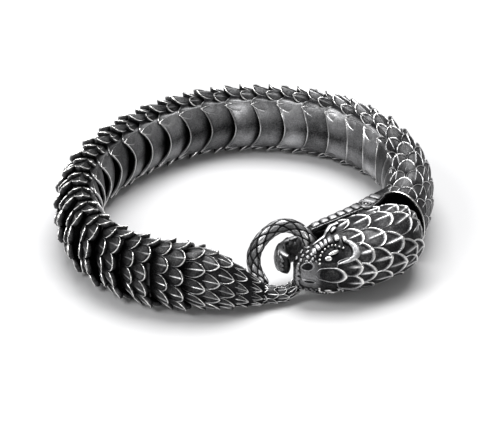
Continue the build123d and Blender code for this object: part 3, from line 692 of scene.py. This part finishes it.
# The raised ring round the rivet on each rail
def make_boss(b):
    a = angles(28)
    closed = BOSS + BOSS[:1]
    top = lookup(JAW, RIVET_AT)[RAIL_TOP] - RAIL_RELIEF
    for side in (1, -1):
        rows = []
        for r, h, _ in closed:
            s, out = NECK_S + RIVET_AT + r * np.cos(a), RIVET_OUT + r * np.sin(a)
            rows.append(on_path(s, out, MID + side * (top + h)))
        rings(b, np.array(rows), np.array([wear for _, _, wear in closed])[:, None], caps=False)


# The smooth line through rows of x, y, z and more
def line_through(rows, count):
    p = np.array(rows, float)
    n = len(p)
    t = length_along(p[:, :3])
    h = np.diff(t)
    matrix = np.zeros((n, n))
    right = np.zeros((n, p.shape[1]))
    matrix[0, 0] = matrix[-1, -1] = 1
    for i in range(1, n - 1):
        matrix[i, i - 1], matrix[i, i], matrix[i, i + 1] = h[i - 1], 2 * (h[i - 1] + h[i]), h[i]
        right[i] = 6 * ((p[i + 1] - p[i]) / h[i] - (p[i] - p[i - 1]) / h[i - 1])
    m = np.linalg.solve(matrix, right)
    u = np.linspace(0, t[-1], count)
    k = np.clip(np.searchsorted(t, u, side="right") - 1, 0, n - 2)
    span = h[k][:, None]
    x0, x1 = (u - t[k])[:, None], (t[k + 1] - u)[:, None]
    line = (m[k] * x1 ** 3 + m[k + 1] * x0 ** 3) / (6 * span) + (p[k] / span - m[k] * span / 6) * x1
    line = line + (p[k + 1] / span - m[k + 1] * span / 6) * x0
    return u, line


# A bent tube from rows of x, y, z, half width and half height
class Sweep:
    def __init__(self, rows, count):
        self.u, line = line_through(rows, count)
        self.p, self.rw, self.rh = line[:, :3], line[:, 3], line[:, 4]
        t = np.gradient(self.p, self.u, axis=0)
        t /= np.linalg.norm(t, axis=1, keepdims=True)
        side = np.cross([0, 0, 1.0], t[0])
        side /= np.linalg.norm(side)
        sides = [side]
        for i in range(1, count):
            v = sides[-1] - t[i] * (sides[-1] @ t[i])
            sides.append(v / np.linalg.norm(v))
        self.side = np.array(sides)
        self.up = np.cross(t, self.side)
        self.length = self.u[-1]

    def at(self, u, angle, lift):
        u, angle, lift = np.broadcast_arrays(u, angle, lift)

        def along(values):
            return np.stack([np.interp(u, self.u, values[:, i]) for i in range(3)], -1)
        p, side, up = along(self.p), along(self.side), along(self.up)
        across = side * ((self.half_width(u) + lift) * np.cos(angle))[..., None]
        return p + across + up * ((self.half_height(u) + lift) * np.sin(angle))[..., None] + SHIFT

    def half_width(self, u):
        return np.interp(u, self.u, self.rw)

    def half_height(self, u):
        return np.interp(u, self.u, self.rh)


HOOK = [
    # back from the nose, out, half width, half height (shares, then mm)
    (0.386, -0.725, 1.2, 4.8), (0.234, -0.887, 1.4, 4), (0.107, -0.964, 1.3, 3.2),
    (0.006, -0.882, 1.2, 2.8), (-0.049, -0.645, 1.15, 2.6), (-0.04, -0.377, 1.1, 2.5),
    (-0.003, -0.224, 0.9, 2.2)]
HOOK_RINGS, HOOK_SIDES, HOOK_SHARE = 60, 40, 0.93
HOOK_ROW_FROM, HOOK_ROW_PITCH, HOOK_ROW_COUNT = 2.6, 1.1, 15


def hook_body(mesh, sweep):
    u = np.linspace(0, sweep.length, HOOK_RINGS)[:, None]
    a = angles(HOOK_SIDES)
    ca, sa = squared(np.cos(a), 0.7), squared(np.sin(a), 0.7)
    points = sweep.at(u, np.arctan2(sa, ca)[None], 0.0)
    middle = sweep.at(u, 0.0, 0.0) * 0.5 + sweep.at(u, math.pi, 0.0) * 0.5
    points = middle + (points - middle) * np.hypot(ca, sa)[None, :, None] * HOOK_SHARE
    shrink(points, HOOK_RINGS - 1, 0.05)
    shrink(points, HOOK_RINGS - 2, 0.75)
    rings(mesh, points, np.where(np.abs(np.cos(a)) < 0.35, 0.45, 0.05)[None])


# The hook, with rows of small scales on its two broad faces
def make_hook(b):
    sweep = Sweep([(*near_nose(a, o, 1.0), w, h) for a, o, w, h in HOOK], 80)
    hook_body(b, sweep)
    outward = sweep.side[0] @ (sweep.p[0] - near_nose(HOOK[0][0], 0.0, 1.0))
    base = math.pi if outward < 0 else 0.0
    for i in range(HOOK_ROW_COUNT):
        u0 = HOOK_ROW_FROM + HOOK_ROW_PITCH * i
        if u0 > sweep.length - 0.7:
            break
        half = float(sweep.half_height(u0))
        for j in (-1.5, -0.5, 0.5, 1.5) if i % 2 else (-1, 0, 1):
            for face_at in (base, math.pi - base):
                def face(x, y, h):
                    hh = sweep.half_height(u0 + x)
                    z = np.clip((j * 0.42 * hh + y) / hh, -0.98, 0.98)
                    return sweep.at(u0 + x, face_at + np.arcsin(z) * (1 if face_at == 0 else -1), h - 0.02)
                pillow(b, face, 0, 0, 0.9, 0.33 * half, 0.0, 0.26, p=1.3, n=16, low=-0.3,
                       wear=rng.uniform(0.3, 0.6), flat=3.0)


# Tail: scale rows that get smaller, then the curled end
TAIL = np.array([
    # s, out_r, in_r, half_height, mid_out, mid_z
    (-22, 1.4, 1.4, 1.5, -0.3, 1.9), (-19, 1.8, 1.8, 1.9, -0.2, 2.2), (-17, 2.6, 2.5, 2.9, -0.1, 3.1),
    (-14.8, 3.4, 3.2, 3.9, -0.1, 4.1), (-12, 4.3, 4, 5.2, 0.1, 5.4), (-8.8, 5, 4.6, 6.5, 0.3, 6.7),
    (-5.2, 5.4, 5, 7.5, 0.2, 7.6), (0, 5.5, 5, 7.9, 0, 7.9)])
TAIL_CORE = [
    # s, inset
    (-0.95, 3.4), (-0.95, 2.5), (-1.6, 2.1), (-3, 1.35), (-5, 0.85), (-7, 0.75), (-9, 0.7), (-11, 0.6),
    (-13, 0.5), (-15, 0.45), (-17, 0.4), (-19, 0.3), (-21, 0.3), (-22, 0.3)]
TAIL_ROWS = [
    # tip, scale size, length, scales round the body, slope
    (-5.6, 1, 5.6, 9, 0.4), (-8.4, 0.9, 5.6, 10, 0.21), (-11.2, 0.8, 5.4, 9, 0.21),
    (-14, 0.68, 5.2, 10, 0.21), (-16.9, 0.55, 5, 9, 0.21), (-19.7, 0.48, 4.6, 10, 0.21)]
TAIL_LEAF = dict(point=0.72, field=0.13, side=0.7, open_at=0.55)
CURL = [
    # back from the nose, out, height (shares), radius
    (-0.325, -0.015, 0.42, 2.2), (-0.224, -0.017, 0.354, 2.1), (-0.135, -0.02, 0.291, 1.9),
    (-0.05, -0.05, 0.278, 1.65), (0.021, -0.108, 0.392, 1.45), (0.091, -0.21, 0.595, 1.4),
    (0.163, -0.261, 0.81, 1.4), (0.195, -0.38, 1.089, 1.4), (0.191, -0.536, 1.38, 1.4),
    (0.146, -0.717, 1.62, 1.4), (0.069, -0.872, 1.759, 1.4), (-0.025, -0.961, 1.759, 1.4),
    (-0.127, -0.961, 1.595, 1.4), (-0.214, -0.898, 1.316, 1.4), (-0.256, -0.78, 1.013, 1.4),
    (-0.253, -0.602, 0.747, 1.35), (-0.228, -0.399, 0.595, 1.3), (-0.199, -0.166, 0.494, 1.1)]
CURL_RINGS, CURL_SIDES, CURL_SINK = 150, 24, -0.2
WRAP_FROM, WRAP_PITCH, WRAP_ROWS, WRAP_COUNT = 3.6, 2.25, 6, 6
WRAP_LEAF = dict(length=3.55, k=0.6, point=0.75, side=0.7, open_at=0.6, thick=0.7)
SKIN_COUNT, SKIN_STEP, RING_R = 5, 1.7, 1.4


def tail_point(s, phase, inset):
    *reach, mid_out, mid_z = lookup(TAIL, s)
    y, z = section(phase, inset, *reach)
    return on_path(TAIL_S + s, mid_out + y, mid_z + z)


def tail_scales(mesh):
    for tip, size, length, count, slope in TAIL_ROWS:
        row = sloping(tail_point, tip, 0.46 * size, slope)
        for j in range(count):
            phase = j - (count - 1) / 2
            hw = 2.15 * size if abs(phase) < 4 else 1.7 * size
            leaf(mesh, row, tip, phase * 1.04, SCALE_WIDTH * size, hw, length=length, k=0.4 + 0.6 * size,
                 turn=rng.normal(0, 0.04), **TAIL_LEAF)


def curl_body(mesh, sweep):
    u = np.linspace(0, sweep.length, CURL_RINGS)[:, None]
    points = sweep.at(u, angles(CURL_SIDES)[None], CURL_SINK)
    for ring, share in ((0, 0.05), (1, 0.7), (CURL_RINGS - 1, 0.05), (CURL_RINGS - 2, 0.7)):
        shrink(points, ring, share)
    rings(mesh, points, 0.0)


def curl_leaves(mesh, sweep):
    for i in range(WRAP_ROWS):
        u0 = WRAP_FROM + WRAP_PITCH * i
        r = float(sweep.half_width(u0))

        def wrap(x, angle, h):
            return sweep.at(u0 - x, angle, h - 0.05 - 0.12 * x)
        for j in range(WRAP_COUNT):
            angle = (j + 0.5 * (i % 2)) * FULL_TURN / WRAP_COUNT
            leaf(mesh, wrap, 0.0, angle, r, 1.12 * math.pi * r / WRAP_COUNT, **WRAP_LEAF)


def curl_skin(mesh, sweep):
    u = WRAP_FROM + WRAP_PITCH * (WRAP_ROWS - 1) + 0.9
    turn = FULL_TURN / SKIN_COUNT
    row = 0
    while u < sweep.length - 0.6:
        r = float(sweep.half_width(u))
        step = SKIN_STEP * (r / RING_R) ** 0.6
        for j in range(SKIN_COUNT):
            middle = (j + 0.5 * (row % 2)) * turn

            def skin(x, y, h):
                return sweep.at(u + x, middle + y / r, h - 0.2)
            pillow(mesh, skin, 0, 0, step * 0.78, r * turn * 0.38, 0.0, 0.34, p=1.3, n=20, low=-0.2,
                   wear=rng.uniform(0.14, 0.8), flat=2.8)
        u += step
        row += 1


def make_tail():
    b = Build()
    xs, insets = np.array(TAIL_CORE).T
    rings(b, tail_point(xs[:, None], AROUND[None], insets[:, None]), 0.0)
    tail_scales(b)
    sweep = Sweep([(*near_nose(a, o, z), r, r) for a, o, z, r in CURL], 200)
    curl_body(b, sweep)
    curl_leaves(b, sweep)
    curl_skin(b, sweep)
    tongue(b, link_place(0), 0.0, *TAIL_TONGUE)
    ob = b.object("scaled_tail", "bracelet")
    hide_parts("tail_and_ring")
    return ob


# Head: s counts from the neck's start, and a phase of 3 is straight up
HEAD = np.array([
    # s, out, inner, half_height
    (28.4, 5.8, 0.6, 6.7), (31.5, 8.2, -1.2, 7.2), (35, 9.2, -2.4, 7.35), (37, 9.4, -3.3, 7.35),
    (43, 8.7, -3.6, 7.3), (47, 7.5, -3.4, 6.8), (48.6, 6.5, -2.6, 6.3), (50, 5.9, -1.1, 6.3),
    (52.5, 4.7, -0.8, 5.5), (55.2, 3.3, -0.6, 4.4), (57.1, 1.7, -0.4, 2.9)])
HEAD_MID = MID - 0.45
HEAD_STATIONS = np.concatenate([
    [28.6, 28.6, 28.9, 29.4, 30.2, 31.2, 32.5, 34, 36, 38, 40, 42, 44],
    np.arange(45.5, 56.2, 0.35),
    [56.4, 56.65, 56.85, 56.98, 57.02]])
HEAD_LIFTS = np.array([
    # s, lift of the core
    (28.6, -0.8), (28.9, -0.55), (29.4, -0.5), (34, -0.5), (44, -0.55), (46, -0.45), (48.6, -0.25),
    (50.6, -0.1), (53, -0.04), (55, -0.05), (56.1, -0.12), (56.6, -0.3), (56.9, -0.8), (57.02, -1.5)])
FIRST_LIFT = -2.6
BACK_POINTS = 15
HEAD_SCALES = [
    # s of the tip, phase, half width, length, sides, open_at
    (48.7, 0.06, 1.7, 5.2, 1, 0.9), (43.4, 0.1, 2.5, 5.8, 1, 0.62), (37.2, 0.05, 2.9, 6.6, 1, 0.62),
    (31.3, 0, 2.9, 6.4, 1, 0.62), (45.9, 0.6, 2, 4.3, 1, 0.9), (45.9, -0.42, 2, 4.3, 1, 0.9),
    (39.9, 0.62, 2.8, 6.4, 2, 0.62), (33.9, 0.5, 2.9, 6.6, 2, 0.62), (28.5, 0.45, 2.4, 6.2, 2, 0.62),
    (42.8, 1.2, 2.7, 4.6, 2, 0.62), (36.1, 1.22, 2.9, 7, 2, 0.62), (28.9, 1.02, 2.5, 6.6, 2, 0.62),
    (38.6, 1.74, 2.8, 6.4, 2, 0.62), (30.9, 1.84, 2.8, 7, 2, 0.62), (42.6, 2.05, 2.6, 5.4, 2, 0.62),
    (33.8, 2.34, 2.7, 7.4, 2, 0.62), (28.5, 1.55, 2, 4, 2, 0.62), (28.8, 2.2, 2, 4.5, 2, 0.62),
    (38, 2.62, 2.6, 7.6, 2, 0.9), (30.2, 2.66, 2, 5.4, 2, 0.62), (33.6, 2.92, 1.5, 5, 2, 0.62),
    (42.6, 2.8, 1.6, 5.2, 2, 0.62)]
HEAD_LEAF = dict(k=1.1, rim=0.24, rim_h=0.3, keel_w=0.27, point=0.57, narrow=0.3, wide_at=0.42, field=0.07,
                 side=0.55, dome=0.08)
FACE_S, SNOUT_S = 45, 48
LEAST_UNIT = 3.2


def head_point(s, phase, lift):
    s, phase, lift = np.broadcast_arrays(s, phase, lift)
    out, inner, half = lookup(HEAD, s)
    a = phase * math.pi / 6
    y = inner + (out - inner + lift) * np.cos(a)
    z = (half + lift) * np.sin(a)
    return on_path(NECK_S + s, y, HEAD_MID + z)


def head_unit(s, phase):
    out, inner, half = lookup(HEAD, s)
    a = phase * math.pi / 6
    return math.hypot((out - inner) * math.sin(a), half * math.cos(a)) * math.pi / 6


# Eye socket on the head: 1 inside, 0 outside
def socket(s, phase):
    u, v = (s - 50.1) / 3.5, (np.abs(phase) - 1.58) / 0.68
    return 1 - smooth(np.hypot(u, v), 0.8, 1.05)


def head_wear(s, phase):
    bridge = float(smooth(np.array(s), 52.5, 54.0)) * (1 - smooth(np.abs(phase), 1.15, 1.5))
    return (0.06 + 0.34 * bridge) * (1 - socket(s, phase))


# The core of the head under its scales, with a hollow back
def head_core(mesh):
    lifts, = lookup(HEAD_LIFTS, HEAD_STATIONS)
    lifts[0] = FIRST_LIFT
    phases = np.linspace(-3, 3, 121)
    rows, wears = [], []
    for s, lift in zip(HEAD_STATIONS, lifts):
        outer = head_point(s, phases, lift - 0.22 * socket(s, phases))
        _, inner, half = lookup(HEAD, s)
        half = half + lift
        z = np.linspace(half * 0.97, -half * 0.97, BACK_POINTS)
        dent = 0.10 - 0.25 * (1 - (z / half) ** 2)
        back = on_path(NECK_S + s, inner - dent, HEAD_MID + z)
        rows.append(np.vstack([outer, back]))
        wears.append(np.concatenate([head_wear(s, phases), np.zeros(BACK_POINTS)]))
    rings(mesh, np.array(rows), np.array(wears))


def head_scales(mesh):
    for s, phase, hw, length, sides, open_at in HEAD_SCALES:
        face, snout = s > FACE_S, s > SNOUT_S
        lift, slope, tip_rim = (0.05, 0.02, 0.85) if face else (-0.36, 0.085, 0.66)
        unit = max(head_unit(s + 1.5, phase), LEAST_UNIT)

        def row(x, around, h):
            return head_point(x, around, h + lift - slope * (x - s))
        for side in (1, -1)[:sides]:
            leaf(mesh, row, s, phase * side, unit, hw, length=length, tip_rim=tip_rim, open_at=open_at,
                 keel=0 if snout else 0.62, turn=0.2 if snout else rng.normal(0, TURN_SPREAD), **HEAD_LEAF)


PEARLS = [
    # s, phase
    (52.9, 1.12), (52.75, 1.4), (52.4, 1.68), (51.9, 1.88), (51.2, 2.02),
    (50.4, 2.1), (49.6, 2.08), (48.9, 1.98), (48.3, 1.84), (47.8, 1.7)]
BROW = [
    # s, phase, half length, half width
    (53.3, 2.14, 0.48, 0.72), (52.4, 2.32, 0.46, 0.84), (51.5, 2.4, 0.4, 0.88), (50.6, 2.44, 0.4, 0.88),
    (49.4, 2.42, 0.72, 0.84), (47.9, 2.28, 0.62, 0.84), (46.7, 2.04, 0.46, 0.84), (47.2, 2.72, 0.85, 0.5)]
NOSE = [
    # s, phase, half length, half width
    (54.4, 2.35, 0.42, 0.28), (53.8, 1.98, 0.36, 0.42), (54.7, 1.84, 0.3, 0.44), (55.5, 2.2, 0.3, 0.3),
    (56, 1.8, 0.26, 0.36), (55.4, 2.75, 0.44, 0.26), (54, 2.78, 0.44, 0.28), (56.6, 2.4, 0.24, 0.4),
    (56.65, 1.3, 0.26, 0.6), (53.95, 1.55, 0.24, 0.4), (56.9, 0.3, 0.26, 0.55), (56.85, 0.85, 0.26, 0.4),
    (56.8, -0.4, 0.26, 0.5), (54.35, 1.36, 0.2, 0.3), (53.45, 1.28, 0.16, 0.28), (53.4, 1.7, 0.16, 0.3),
    (55.1, 1.5, 0.26, 0.3)]
EYE = [
    # s, phase, half length, half width, height, squareness, turn
    (49.9, 1.62, 1.12, 0.42, 0.28, 2.2, -0.12), (51.2, 1.34, 0.66, 0.52, 0.26, 2, 0.3)]
EYE_RIM = [
    # s, phase, half width
    (47.1, 1.98, 0.2), (46.2, 1.86, 0.5), (45.75, 1.6, 0.72), (45.85, 1.34, 0.78),
    (46.6, 1.12, 0.6), (47.8, 1, 0.4), (49, 0.94, 0.28), (50, 0.9, 0.16)]
CREST = [
    # s, phase, half width
    (53, 2.72, 0.2), (51.2, 2.86, 0.36), (49.4, 2.9, 0.4), (47.4, 2.96, 0.36), (45.2, 2.9, 0.2)]
NOSTRIL = [
    # radius, height, wear
    (1.35, -0.25, 0.2), (1.25, 0.1, 0.4), (1.1, 0.2, 0.5), (0.98, 0.18, 0.45), (0.86, 0.05, 0),
    (0.8, 0.01, 0), (0.3, 0.01, 0)]
NEAR_NOSTRIL, FAR_NOSTRIL = (55.1, 1.0, 0.8), (54.9, 0.42, 0.34)
RIDGE = [
    # across in half widths, height as a share, wear
    (-1, -0.35, 0), (-1, 0.1, 0.2), (-0.75, 0.75, 0.9), (-0.3, 1, 1),
    (0.3, 1, 1), (0.75, 0.75, 0.9), (1, 0.1, 0.2), (1, -0.35, 0)]
RIDGE_UNIT = 3.6


# Places a small form on the head round s and phase; side is 1 near, -1 far
def on_head(s, phase, side):
    unit = head_unit(s, phase)

    def place(x, y, h):
        return head_point(s + x, (phase + y / unit) * side, h)
    return place


def ridge(mesh, rows, side, height, wear):
    table = np.array(rows)
    t = np.arange(len(table))
    u = np.linspace(0, len(table) - 1, 6 * len(table))
    s, phase, width = [np.interp(u, t, table[:, c]) for c in range(3)]
    for line in (s, phase):
        for _ in range(2):
            line[1:-1] = (line[:-2] + line[1:-1] * 2 + line[2:]) / 4
    ds, dp = np.gradient(s), np.gradient(phase) * RIDGE_UNIT
    size = np.hypot(ds, dp)
    nx, ny = -dp / size, ds / size / RIDGE_UNIT
    points, wears = [], []
    for across, h, brightening in RIDGE:
        lift = h * height if h > 0 else h
        points.append(head_point(s + nx * width * across, (phase + ny * width * across) * side, lift))
        wears.append(np.full(len(s), brightening * wear))
    rings(mesh, np.array(points).transpose(1, 0, 2), np.array(wears).T)


# A ring round a pit, long and low on the far side
def nostril(mesh, side):
    s, phase, high = NEAR_NOSTRIL if side > 0 else FAR_NOSTRIL
    spot = on_head(s, phase, side)
    a = angles(20)
    rows = [spot(r * np.cos(a), r * high * np.sin(a), h) for r, h, _ in NOSTRIL]
    rings(mesh, np.array(rows), np.array([wear for _, _, wear in NOSTRIL])[:, None])


def features(mesh, side):
    for s, phase in PEARLS:
        pillow(mesh, on_head(s, phase, side), 0, 0, 0.25, 0.25, -0.15, 0.28, p=2, n=12, low=-0.5, flat=2.0)
    for s, phase, hx, hy in BROW:
        pillow(mesh, on_head(s, phase, side), 0, 0, hx, hy, 0.15, 0.5, p=3.6, n=20, low=-0.4,
               turn=0.25 * math.sin(5 * s), wear=0.52)
    for s, phase, hx, hy in NOSE:
        pillow(mesh, on_head(s, phase, side), 0, 0, hx, hy, 0.10, 0.32, p=3.4, n=20, low=-0.6,
               turn=0.7 * math.sin(7 * s), wear=0.5)
    for s, phase, hx, hy, high, p, turn in EYE:
        pillow(mesh, on_head(s, phase, side), 0, 0, hx, hy, -0.1, high, p=p, n=24, low=-0.5, turn=turn)
    ridge(mesh, EYE_RIM, side, 0.42, wear=0.55)
    ridge(mesh, CREST, side, 0.3, wear=0.6)
    nostril(mesh, side)


def make_head():
    b = Build()
    head_core(b)
    head_scales(b)
    for side in (1.0, -1.0):
        features(b, side)
    ob = b.object("scaled_head", "head")
    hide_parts("head_lever")
    return ob


RIVET_BASE = 6.83
RIVET_HEAD = [
    # radius, height over the rivet's base, wear
    (0.02, 0.42, 0.6), (0.22, 0.38, 0.5), (0.34, 0.22, 0), (0.48, 0.22, 0), (0.6, 0.42, 0.5),
    (0.84, 0.44, 0.6), (0.96, 0.28, 0.3), (1, 0.18, 0), (1, 0, 0), (0.7, 0, 0)]


def make_rivet():
    b = Build()
    c = on_path(NECK_S + RIVET_AT, RIVET_OUT, MID)
    upper = [(r, RIVET_BASE + h, wear) for r, h, wear in RIVET_HEAD]
    profile = upper + [(r, -z, wear) for r, z, wear in upper[::-1]]
    rows = [[(c[0] + x, c[1] + y, c[2] + z) for x, y in circle(r, 32)] for r, z, _ in profile]
    rings(b, np.array(rows), np.array([wear for _, _, wear in profile])[:, None])
    ob = b.object("domed_rivet", "bracelet")
    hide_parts("head_rivet")
    return ob


def make_housing():
    b = Build()
    make_neck(b)
    make_jaw(b)
    make_boss(b)
    make_hook(b)
    ob = b.object("scaled_neck_and_jaw", "bracelet")
    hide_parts("neck_and_jaw")
    return ob


# Materials: the steel's brightness follows the per-point value of wear, which also carries painted sheen
# and painted shade, broken up by a broad and a fine grain
BROAD_SHARE, FINE_SHARE, GRAIN_MIDDLE = 0.34, 0.38, 0.36
DARKEST, BRIGHTEST, BRIGHTEST_AT = (0.013, 0.013, 0.014, 1), (0.80, 0.795, 0.78, 1), 0.9
STEEL_RAMP = [
    # place on the ramp, brightness
    (0.1, 0.04), (0.24, 0.1), (0.42, 0.21), (0.66, 0.44)]
BLUER = 1.02
FLOOR_COLOURS = ((0.485, 0.485, 0.495, 1), (0.495, 0.495, 0.495, 1))
FLOOR_HALF = 3


def new_material(name):
    mat = bpy.data.materials.new(name)
    mat.use_nodes = True
    return mat, mat.node_tree, mat.node_tree.nodes["Principled BSDF"]


# Gives each input of a node its number, or another node's output
def fill(tree, shader, inputs):
    for name, value in inputs.items():
        if isinstance(value, bpy.types.NodeSocket):
            tree.links.new(value, shader.inputs[name])
        else:
            shader.inputs[name].default_value = value


def add_node(tree, kind, inputs):
    shader = tree.nodes.new("ShaderNode" + kind)
    fill(tree, shader, inputs)
    return shader


def noise(tree, inputs):
    return add_node(tree, "TexNoise", inputs).outputs["Fac"]


def maths(tree, operation, *values):
    shader = tree.nodes.new("ShaderNodeMath")
    shader.operation = operation
    fill(tree, shader, dict(enumerate(values)))
    return shader.outputs[0]


def steel_ramp(tree, bright):
    ramp = add_node(tree, "ValToRGB", {"Fac": bright})
    dark_end, bright_end = ramp.color_ramp.elements
    dark_end.color = DARKEST
    bright_end.position, bright_end.color = BRIGHTEST_AT, BRIGHTEST
    for position, value in STEEL_RAMP:
        ramp.color_ramp.elements.new(position).color = (value, value, value * BLUER, 1)
    return ramp.outputs["Color"]


def steel():
    mat, tree, bsdf = new_material("antiqued_steel")
    # Reads the per-point value, which holds wear together with painted sheen and painted shade
    brightening = tree.nodes.new("ShaderNodeAttribute")
    brightening.attribute_name = "wear"
    place = tree.nodes.new("ShaderNodeTexCoord").outputs["Object"]
    fine = noise(tree, {"Scale": 3200.0, "Detail": 4.0, "Vector": place})
    broad = noise(tree, {"Scale": 420.0, "Detail": 3.0, "Vector": place})
    blotched = maths(tree, "MULTIPLY_ADD", broad, BROAD_SHARE, brightening.outputs["Fac"])
    grained = maths(tree, "MULTIPLY_ADD", fine, FINE_SHARE, blotched)
    bright = maths(tree, "SUBTRACT", grained, GRAIN_MIDDLE)
    rough = add_node(tree, "MapRange", {"To Min": 0.55, "To Max": 0.27, "Value": bright})
    bump = add_node(tree, "Bump", {"Strength": 0.28, "Distance": 0.00012, "Height": fine})
    fill(tree, bsdf, {"Metallic": 1.0, "Base Color": steel_ramp(tree, bright),
                      "Roughness": rough.outputs["Result"], "Normal": bump.outputs["Normal"]})
    return mat


def floor_material():
    mat, tree, bsdf = new_material("pale_floor")
    ramp = add_node(tree, "ValToRGB", {"Fac": noise(tree, {"Scale": 40.0})})
    for stop, colour in zip(ramp.color_ramp.elements, FLOOR_COLOURS):
        stop.color = colour
    fill(tree, bsdf, {"Base Color": ramp.outputs["Color"], "Roughness": 0.42})
    return mat


def make_floor():
    mesh = bpy.data.meshes.new("floor")
    h = FLOOR_HALF
    mesh.from_pydata([(-h, -h, 0), (h, -h, 0), (h, h, 0), (-h, h, 0)], [], [(0, 1, 2, 3)])
    floor = bpy.data.objects.new("floor", mesh)
    floor.data.materials.append(floor_material())
    bpy.context.scene.collection.objects.link(floor)


WORLD_STRENGTH = 0.30
LIGHTS = [
    # name, place in metres, size, power; all face the origin
    ("top", (0.02, 0.13, 0.48), (0.44, 0.32), 4.8),
    ("key", (-0.3, -0.15, 0.35), (0.18, 0.18), 1.4),
    ("front", (0.22, -0.42, 0.2), (0.16, 0.1), 0.5)]


def make_world():
    world = bpy.data.worlds.new("studio")
    bpy.context.scene.world = world
    world.use_nodes = True
    background = world.node_tree.nodes["Background"]
    background.inputs[0].default_value = (1.0, 1.0, 1.0, 1)
    background.inputs[1].default_value = WORLD_STRENGTH


def make_light(name, at, size, power):
    light = bpy.data.lights.new(name, "AREA")
    light.shape = "RECTANGLE"
    light.size, light.size_y = size
    light.energy = power
    holder = bpy.data.objects.new(name, light)
    bpy.context.scene.collection.objects.link(holder)
    aim = -np.array(at, float)
    aim /= np.linalg.norm(aim)
    holder.location = at
    holder.rotation_euler = Vector(aim.tolist()).to_track_quat("-Z", "Y").to_euler()


# Camera: its target, height in degrees and distance, then the photo's scale
CAMERA_TARGET = np.array([1.173, -9.357, 7.876])
ELEVATION, DISTANCE = 30.0, 650.0
SENSOR_WIDTH, PIXELS_PER_MM, PHOTO_WIDTH = 36.0, 4.73, 500.0


def make_camera():
    lens = bpy.data.cameras.new("photo_view")
    lens.sensor_width = SENSOR_WIDTH
    lens.lens = SENSOR_WIDTH * PIXELS_PER_MM * DISTANCE / PHOTO_WIDTH
    lens.clip_start, lens.clip_end = 0.01, 20.0
    camera = bpy.data.objects.new("photo_view", lens)
    bpy.context.scene.collection.objects.link(camera)
    height = math.radians(ELEVATION)
    away = np.array([0, math.cos(height), -math.sin(height)])
    camera.location = (CAMERA_TARGET - DISTANCE * away) * MM
    camera.rotation_euler = (math.radians(90.0 - ELEVATION), 0, 0)
    bpy.context.scene.camera = camera


made = [make_link(k) for k in range(LINK_COUNT)]
made += [make_tail(), make_housing(), make_head(), make_rivet()]
metal = steel()
for ob in made:
    ob.data.materials.append(metal)
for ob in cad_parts.values():
    if ob.type == "MESH":
        ob.data.materials.clear()
        ob.data.materials.append(metal)

make_floor()
make_world()
for light in LIGHTS:
    make_light(*light)
bpy.context.scene.view_settings.view_transform = "Standard"
make_camera()
